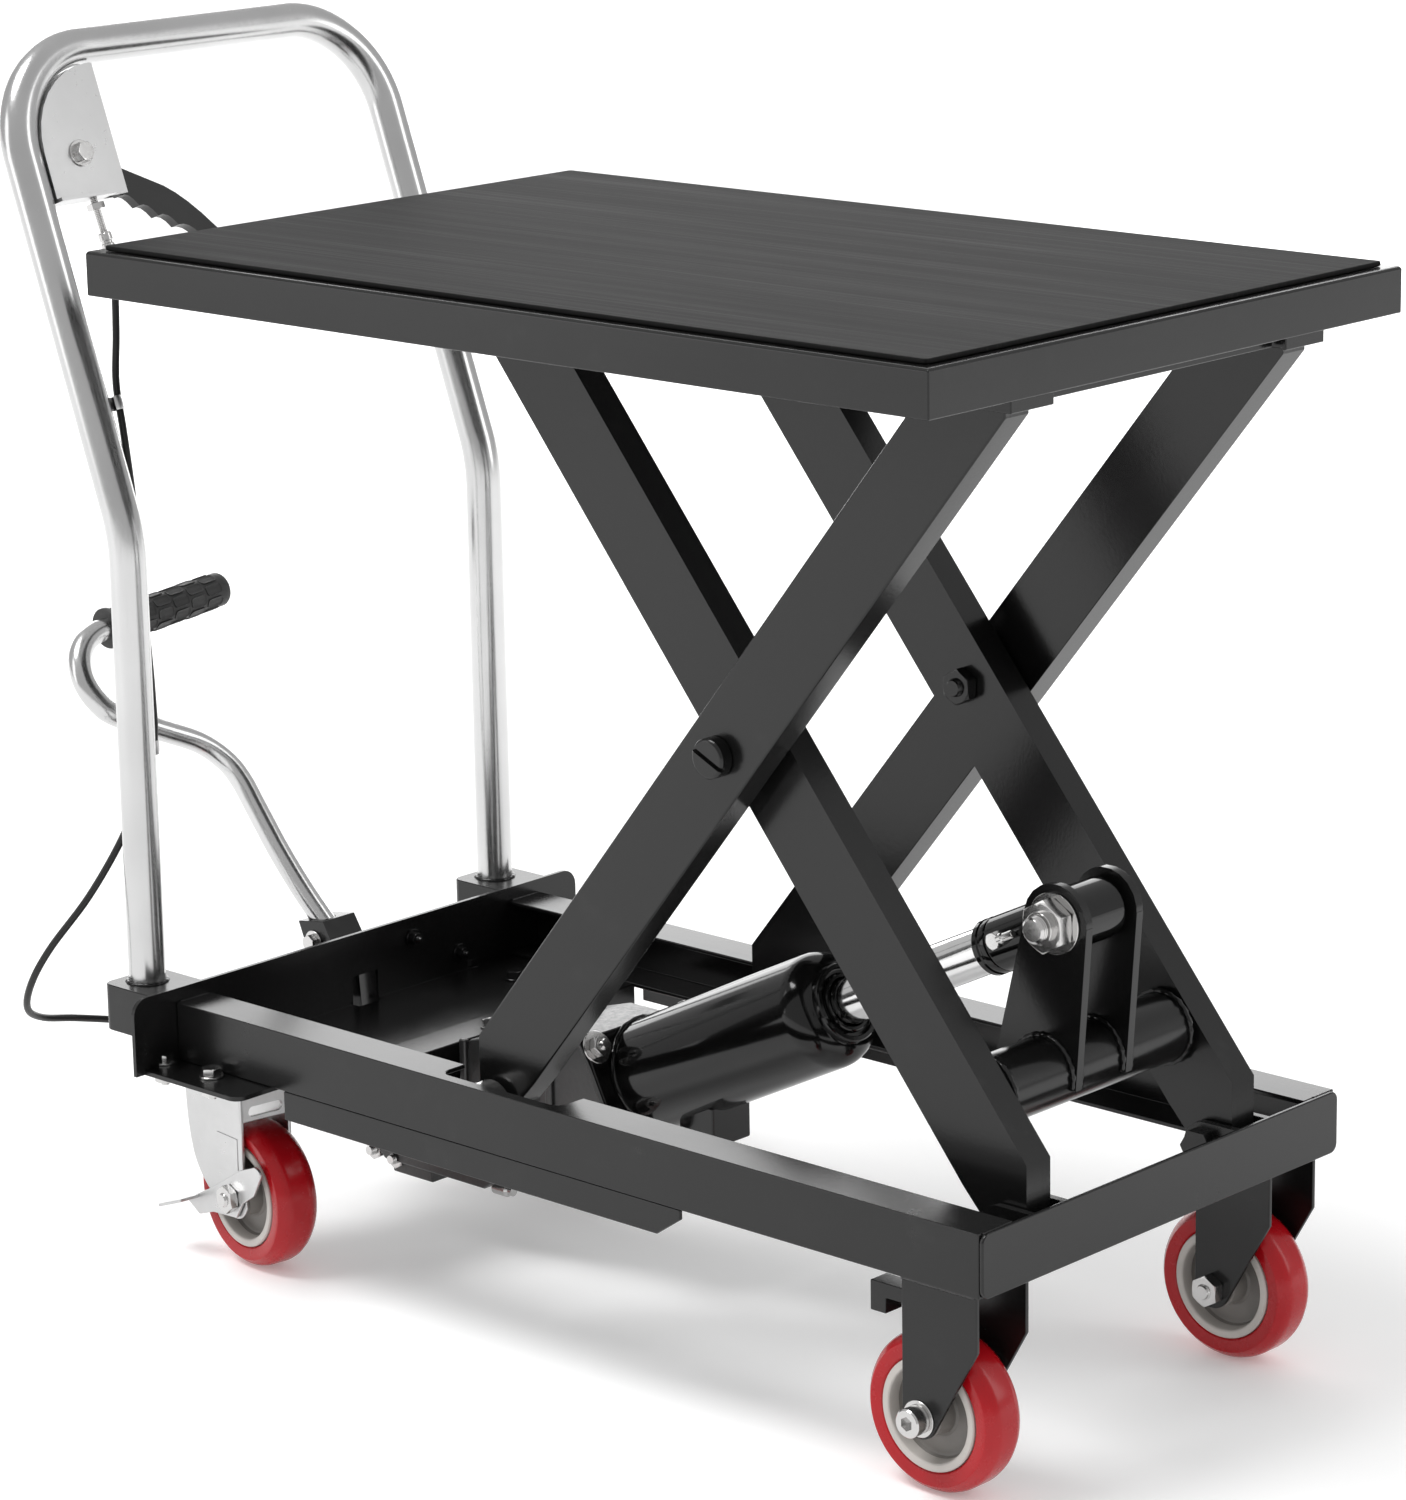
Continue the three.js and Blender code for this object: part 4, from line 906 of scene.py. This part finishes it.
print("cylinder ready")


# pump

pump = {
    "ribs": [(-120, 66, 84), (-96, 84, 76), (-72, 96, 72), (-40, 112, 60)], "ribWidth": 6.0,
    "ribY": (-44.6, -40.0),
    "lid": [(-210, 118), (-146, 118), (-140, 124), (-140, 128), (-210, 128)], "lidWidth": 56.0, "lidTo": 26.0,
    "topBolts": [(-104, 157.6), (-60, 168.6)], "boltY": (-30, 26), "topNormal": (-0.33, 0, 0.94),
    "topSize": (8, 5, 0, 6.5),
    "fittings": [(-211, -34, 51), (-190, -34, 49)], "fittingSize": (13, 7, 4, 0),
    "valve": ((-195, -38, 38), (-156, -14, 50)),
    "outlet": [(4.4, 0), (5, 0.6), (5, 12), (3.4, 14), (3.4, 17)], "outletAt": (-103, -30, 46),
}
refined("pump_body", "cast", 3.0, 4)
refined("pump_plunger", "rod", 0.8, 3, 35)
nearY, farY = pump["ribY"]
ribs = [block(at(x, nearY, z), at(x + pump["ribWidth"], farY, z + height), 1.4, 3)
        for x, z, height in pump["ribs"]]
keep(joined(ribs), "pump_ribs", "base", "cast", angle=30)
lid = slab(pump["lid"], pump["lidTo"] - pump["lidWidth"], pump["lidTo"], 1.4, 3)
keep(lid, "pump_lid", "base", "cast", angle=30)
topBolts = [(at(x, y, z), pump["topNormal"], pump["topSize"]) for x, z in pump["topBolts"]
            for y in pump["boltY"]]
fasteners("pump_bolts", "base", topBolts)
fittings = [(at(*spot), (0, -1, 0), pump["fittingSize"]) for spot in pump["fittings"]]
fasteners("pump_fittings", "base", fittings)
low, high = pump["valve"]
keep(block(at(*low), at(*high), 1.6), "pump_valve_box", "base", "cast", angle=30)
outlet = point(turnedPiece(pump["outlet"], 32), at(*pump["outletAt"]), (1, 0, 0))
keep(outlet, "pump_outlet", "base", "bolt", angle=30)
print("pump ready")


# handle, lever bracket, lever and cable

handle = {"x": -294.0, "halfWidth": 164.4, "foot": 160.0, "bend": 490.0, "lean": 0.36, "top": 796.4,
          "corner": 70.0, "bendRadius": 110.0, "radius": 12.5}
leanLength = math.hypot(1, handle["lean"])
handleUp = Vector((-handle["lean"], 0, 1)) / leanLength
handleOut = Vector((1, 0, handle["lean"])) / leanLength
crossbar = (handle["top"] - handle["bend"]) * leanLength


def onHandle(y, reach, out=0.0):
    start = Vector((handle["x"], y, handle["bend"]))
    return (start + handleUp * reach + handleOut * out) * mm


half = handle["halfWidth"]
corners = [at(handle["x"], -half, handle["foot"]), at(handle["x"], -half, handle["bend"]),
           onHandle(-half, crossbar), onHandle(half, crossbar),
           at(handle["x"], half, handle["bend"]), at(handle["x"], half, handle["foot"])]
bends = [handle["bendRadius"] * mm, handle["corner"] * mm, handle["corner"] * mm, handle["bendRadius"] * mm]
keep(tube(filleted(corners, bends, 24), handle["radius"] * mm, 14), "handle_bar", "base", "chrome",
     ["handle_tube"], 60)

lever = {"y": -121.9, "reach": 253.1, "front": (6.9, (12, 5.6, 0, 9)), "back": (-7.1, (12, 5, 3, 9))}
refined("lever_bracket", "zinc", 0.6, 3)
refined("release_lever", "lever", 2.2, 4, 30)
frontAway, frontSize = lever["front"]
backAway, backSize = lever["back"]
fasteners("lever_bolt", "base", [
    (onHandle(lever["y"], lever["reach"], frontAway), handleOut, frontSize),
    (onHandle(lever["y"], lever["reach"], backAway), -handleOut, backSize),
])

adjuster = {"top": (-364, -119.6, 699), "end": (-354, -117, 668), "stud": (2.6, 26, 1.1), "studFrom": -2.4,
            "nut": (10.5, 4.4, 0, 0), "nutFrom": 1.2, "ferruleFrom": 21.6,
            "ferrule": [(4, 0), (4.6, 0.8), (4.6, 5), (3.8, 5.8), (3.8, 7), (4.6, 7.8), (4.6, 10),
                        (3.2, 11.4)]}
adjusterTop = at(*adjuster["top"])
along = (at(*adjuster["end"]) - adjusterTop).normalized()


def onAdjuster(piece, reach):
    return point(piece, adjusterTop + along * reach * mm, along)


stud = onAdjuster(thread(*adjuster["stud"]), adjuster["studFrom"])
topNut = onAdjuster(fastener(*adjuster["nut"]), adjuster["nutFrom"])
ferrule = onAdjuster(turnedPiece(adjuster["ferrule"], 32), adjuster["ferruleFrom"])
keep(joined([stud, topNut, ferrule]), "adjuster_screw", "base", "bolt", ["cable_adjuster"], 32)

cableRoute = [at(x, y, z) for x, y, z in [
    (-353.8, -117.1, 667.5), (-347, -120, 645), (-337, -129, 615), (-324, -142, 585), (-313, -147, 555),
    (-306, -148, 515), (-302, -147.6, 470), (-299, -147.4, 425), (-296, -147.2, 380), (-296, -147.8, 345),
    (-308, -151, 312), (-319, -160, 278), (-332, -180, 240), (-349, -202, 205), (-361, -210, 180),
    (-375, -203, 158), (-384, -183, 145), (-383, -155, 138), (-368, -125, 132), (-343, -95, 126),
    (-308, -65, 121), (-273, -43, 118), (-243, -33, 117), (-224, -30, 117)]]
keep(tube(smoothPath(cableRoute, 8), 2.5 * mm, 6), "valve_cable", "base", "cable",
     ["release_cable"], 60)


clips = {
    "wrap": 3.4, "strip": 0.6, "stretch": 7, "tail": (7.5, -1.2),
    "places": {
        "cable_clip_top": (at(-318, -147, 573), at(-322, -164, 573), handleUp),
        "cable_clip_low": (at(-296.2, -147.8, 343), at(-294, -164.4, 343), Vector((0, 0, 1))),
    },
}
for name, (cable, post, direction) in clips["places"].items():
    # a folded tab on the post whose end wraps the cable
    inward = post - cable
    inward = (inward - direction * inward.dot(direction)).normalized()
    beside = direction.cross(inward).normalized()
    path = [cable + (inward * x + beside * y) * mm for x, y in arc(0, 0, clips["wrap"], 40, 330, 16)]
    reach, offset = clips["tail"]
    path.append(cable + (inward * reach + beside * offset) * mm)
    strip = bake(tube(path, clips["strip"] * mm, 2))
    for vertex in strip.data.vertices:
        vertex.co += direction * (vertex.co - cable).dot(direction) * clips["stretch"]
    keep(strip, name, "base", "zinc", angle=50)
print("handle ready")


# foot pedal

pedal = {"root": (-291, 186), "slope": (-0.551, 0.835), "tube": 8.0,
         "bends": [(-2, 0), (-9, 30), (-14, 61), (-17, 95), (-19, 117), (-25, 134), (-40, 151), (-66, 166),
                   (-98, 184), (-108, 196), (-112, 212), (-108, 228), (-98, 239), (-86, 244.5), (-75, 246),
                   (-40, 249.2), (-5, 252.3), (28, 255.3)],
         "boltFaces": {-1: (10, 5, 0, 8), 1: (10, 5, 3, 8)}, "boltX": -291.0, "boltHalf": 15.0,
         "boltZ": 178.0,
         "gripSpan": ((-75, 246), (36, 256)),
         "pads": {"around": 8, "along": 6, "length": 14.0, "width": 7.4, "corner": 2.4, "pitch": 16.0,
                  "start": 15.0, "base": 11.0, "height": 1.4, "rim": 1.1, "sunk": 0.6}}


def onPedal(y, reach):
    return at(pedal["root"][0] + pedal["slope"][0] * reach, y, pedal["root"][1] + pedal["slope"][1] * reach)


pedalPath = smoothPath([onPedal(y, reach) for y, reach in pedal["bends"]], 6)
keep(tube(pedalPath, pedal["tube"] * mm, 10), "pedal_bar", "foot_pedal", "chrome",
     ["pedal_tube"], 60)
refined("pedal_socket", "frame", 1.4, 3)
fasteners("pedal_bolts", "foot_pedal", [
    (at(pedal["boltX"], k * pedal["boltHalf"], pedal["boltZ"]), (0, k, 0), size)
    for k, size in pedal["boltFaces"].items()
])

gripStart, gripEnd = [onPedal(*spot) for spot in pedal["gripSpan"]]
gripLength = (gripEnd - gripStart).length / mm
gripTurn = Vector((0, 0, 1)).rotation_difference(gripEnd - gripStart).to_matrix().to_4x4()
gripFrame = Matrix.Translation(gripStart) @ gripTurn
sleeveOutline = [(9, 0), (13.6, 0), (14.5, 0.9), (14.5, 3.2), (13.6, 4.2), (12.2, 5), (11.9, 6), (11.9, 20)]
for radius, fromEnd in ((11.9, 12), (12.1, 6), (12.1, 2.4), (11.2, 0.8), (9.4, 0)):
    sleeveOutline.append((radius, gripLength - fromEnd))
sleeve = turnedPiece(sleeveOutline, 56)
sleeve.matrix_world = gripFrame
bake(sleeve)
pads = pedal["pads"]
sleevePieces = [sleeve]
for row in range(pads["along"]):
    for k in range(pads["around"]):
        # a raised frame: a rounded pad with its middle pressed in
        w, h, r = pads["length"] / 2, pads["width"] / 2, pads["corner"]
        outline = (arc(w - r, h - r, r, 0, 90, 3) + arc(r - w, h - r, r, 90, 180, 3)
                   + arc(r - w, r - h, r, 180, 270, 3) + arc(w - r, r - h, r, 270, 360, 3))
        pad = plate(outline, pads["height"])
        edit(pad)
        bpy.ops.mesh.select_all(action="DESELECT")
        done()
        for polygon in pad.data.polygons:
            polygon.select = polygon.normal.z > 0.9
        bpy.ops.object.mode_set(mode="EDIT")
        bpy.ops.mesh.inset(thickness=pads["rim"] * mm, depth=-pads["sunk"] * mm)
        done()
        turn = 2 * math.pi * (k + 0.5 * (row % 2)) / pads["around"]
        outward = Matrix.Translation(at(pads["base"], 0, pads["start"] + row * pads["pitch"]))
        spot = Matrix.Rotation(turn, 4, "Z") @ outward
        pad.matrix_world = gripFrame @ spot @ Matrix.Rotation(math.radians(90), 4, "Y")
        sleevePieces.append(bake(pad))
keep(joined(sleevePieces), "pedal_sleeve", "foot_pedal", "grip", ["pedal_grip"], 32)
print("pedal ready")


# floor and light

bpy.ops.mesh.primitive_plane_add(size=60, location=(0, 0, -0.0002))
floor = bpy.context.object
floor.name = "floor"
floorShade = Shade("paleFloor", **{"Roughness": 0.8, "Specular IOR Level": 0.1, "Emission Color": grey(1),
                               "Emission Strength": 0.2})
floor.data.materials.append(floorShade.finish(Base_Color=floorShade.blend(
    floorShade.noise(0.6, 2), grey(0.87), grey(0.9))))

light = {
    "room": 0.6, "sun": 1.9, "sunSpread": 28.0, "sunWay": (0.5, 0.5, -1.5),
    "boxes": [
        ((-3.0, 3.2, 1.5), (0, 0, 0.6), (5.0, 2.6), 2.2),
        ((2.6, 1.6, 1.6), (0, 0, 0.4), (1.0, 2.2), 2.2),
        ((-1.9, -2.4, 1.3), (0, 0, 0.4), (1.0, 2.0), 1.6),
    ],
}
world = bpy.data.worlds.new("paleRoom")
bpy.context.scene.world = world
world.use_nodes = True
world.node_tree.nodes["Background"].inputs[0].default_value = (1, 1, 1, 1)
world.node_tree.nodes["Background"].inputs[1].default_value = light["room"]
bpy.ops.object.light_add(type="SUN", location=(0, 0, 3))
sun = bpy.context.object
sun.data.energy = light["sun"]
sun.data.angle = math.radians(light["sunSpread"])
sun.rotation_euler = Vector(light["sunWay"]).to_track_quat("-Z", "Y").to_euler()
for start, target, (width, height), brightness in light["boxes"]:
    # soft boxes: place and target in metres, then size and brightness
    bpy.ops.object.light_add(type="AREA", location=start)
    lamp = bpy.context.object
    lamp.data.shape = "RECTANGLE"
    lamp.data.size = width
    lamp.data.size_y = height
    lamp.data.energy = brightness * math.pi * width * height
    lamp.rotation_euler = (Vector(target) - Vector(start)).to_track_quat("-Z", "Y").to_euler()
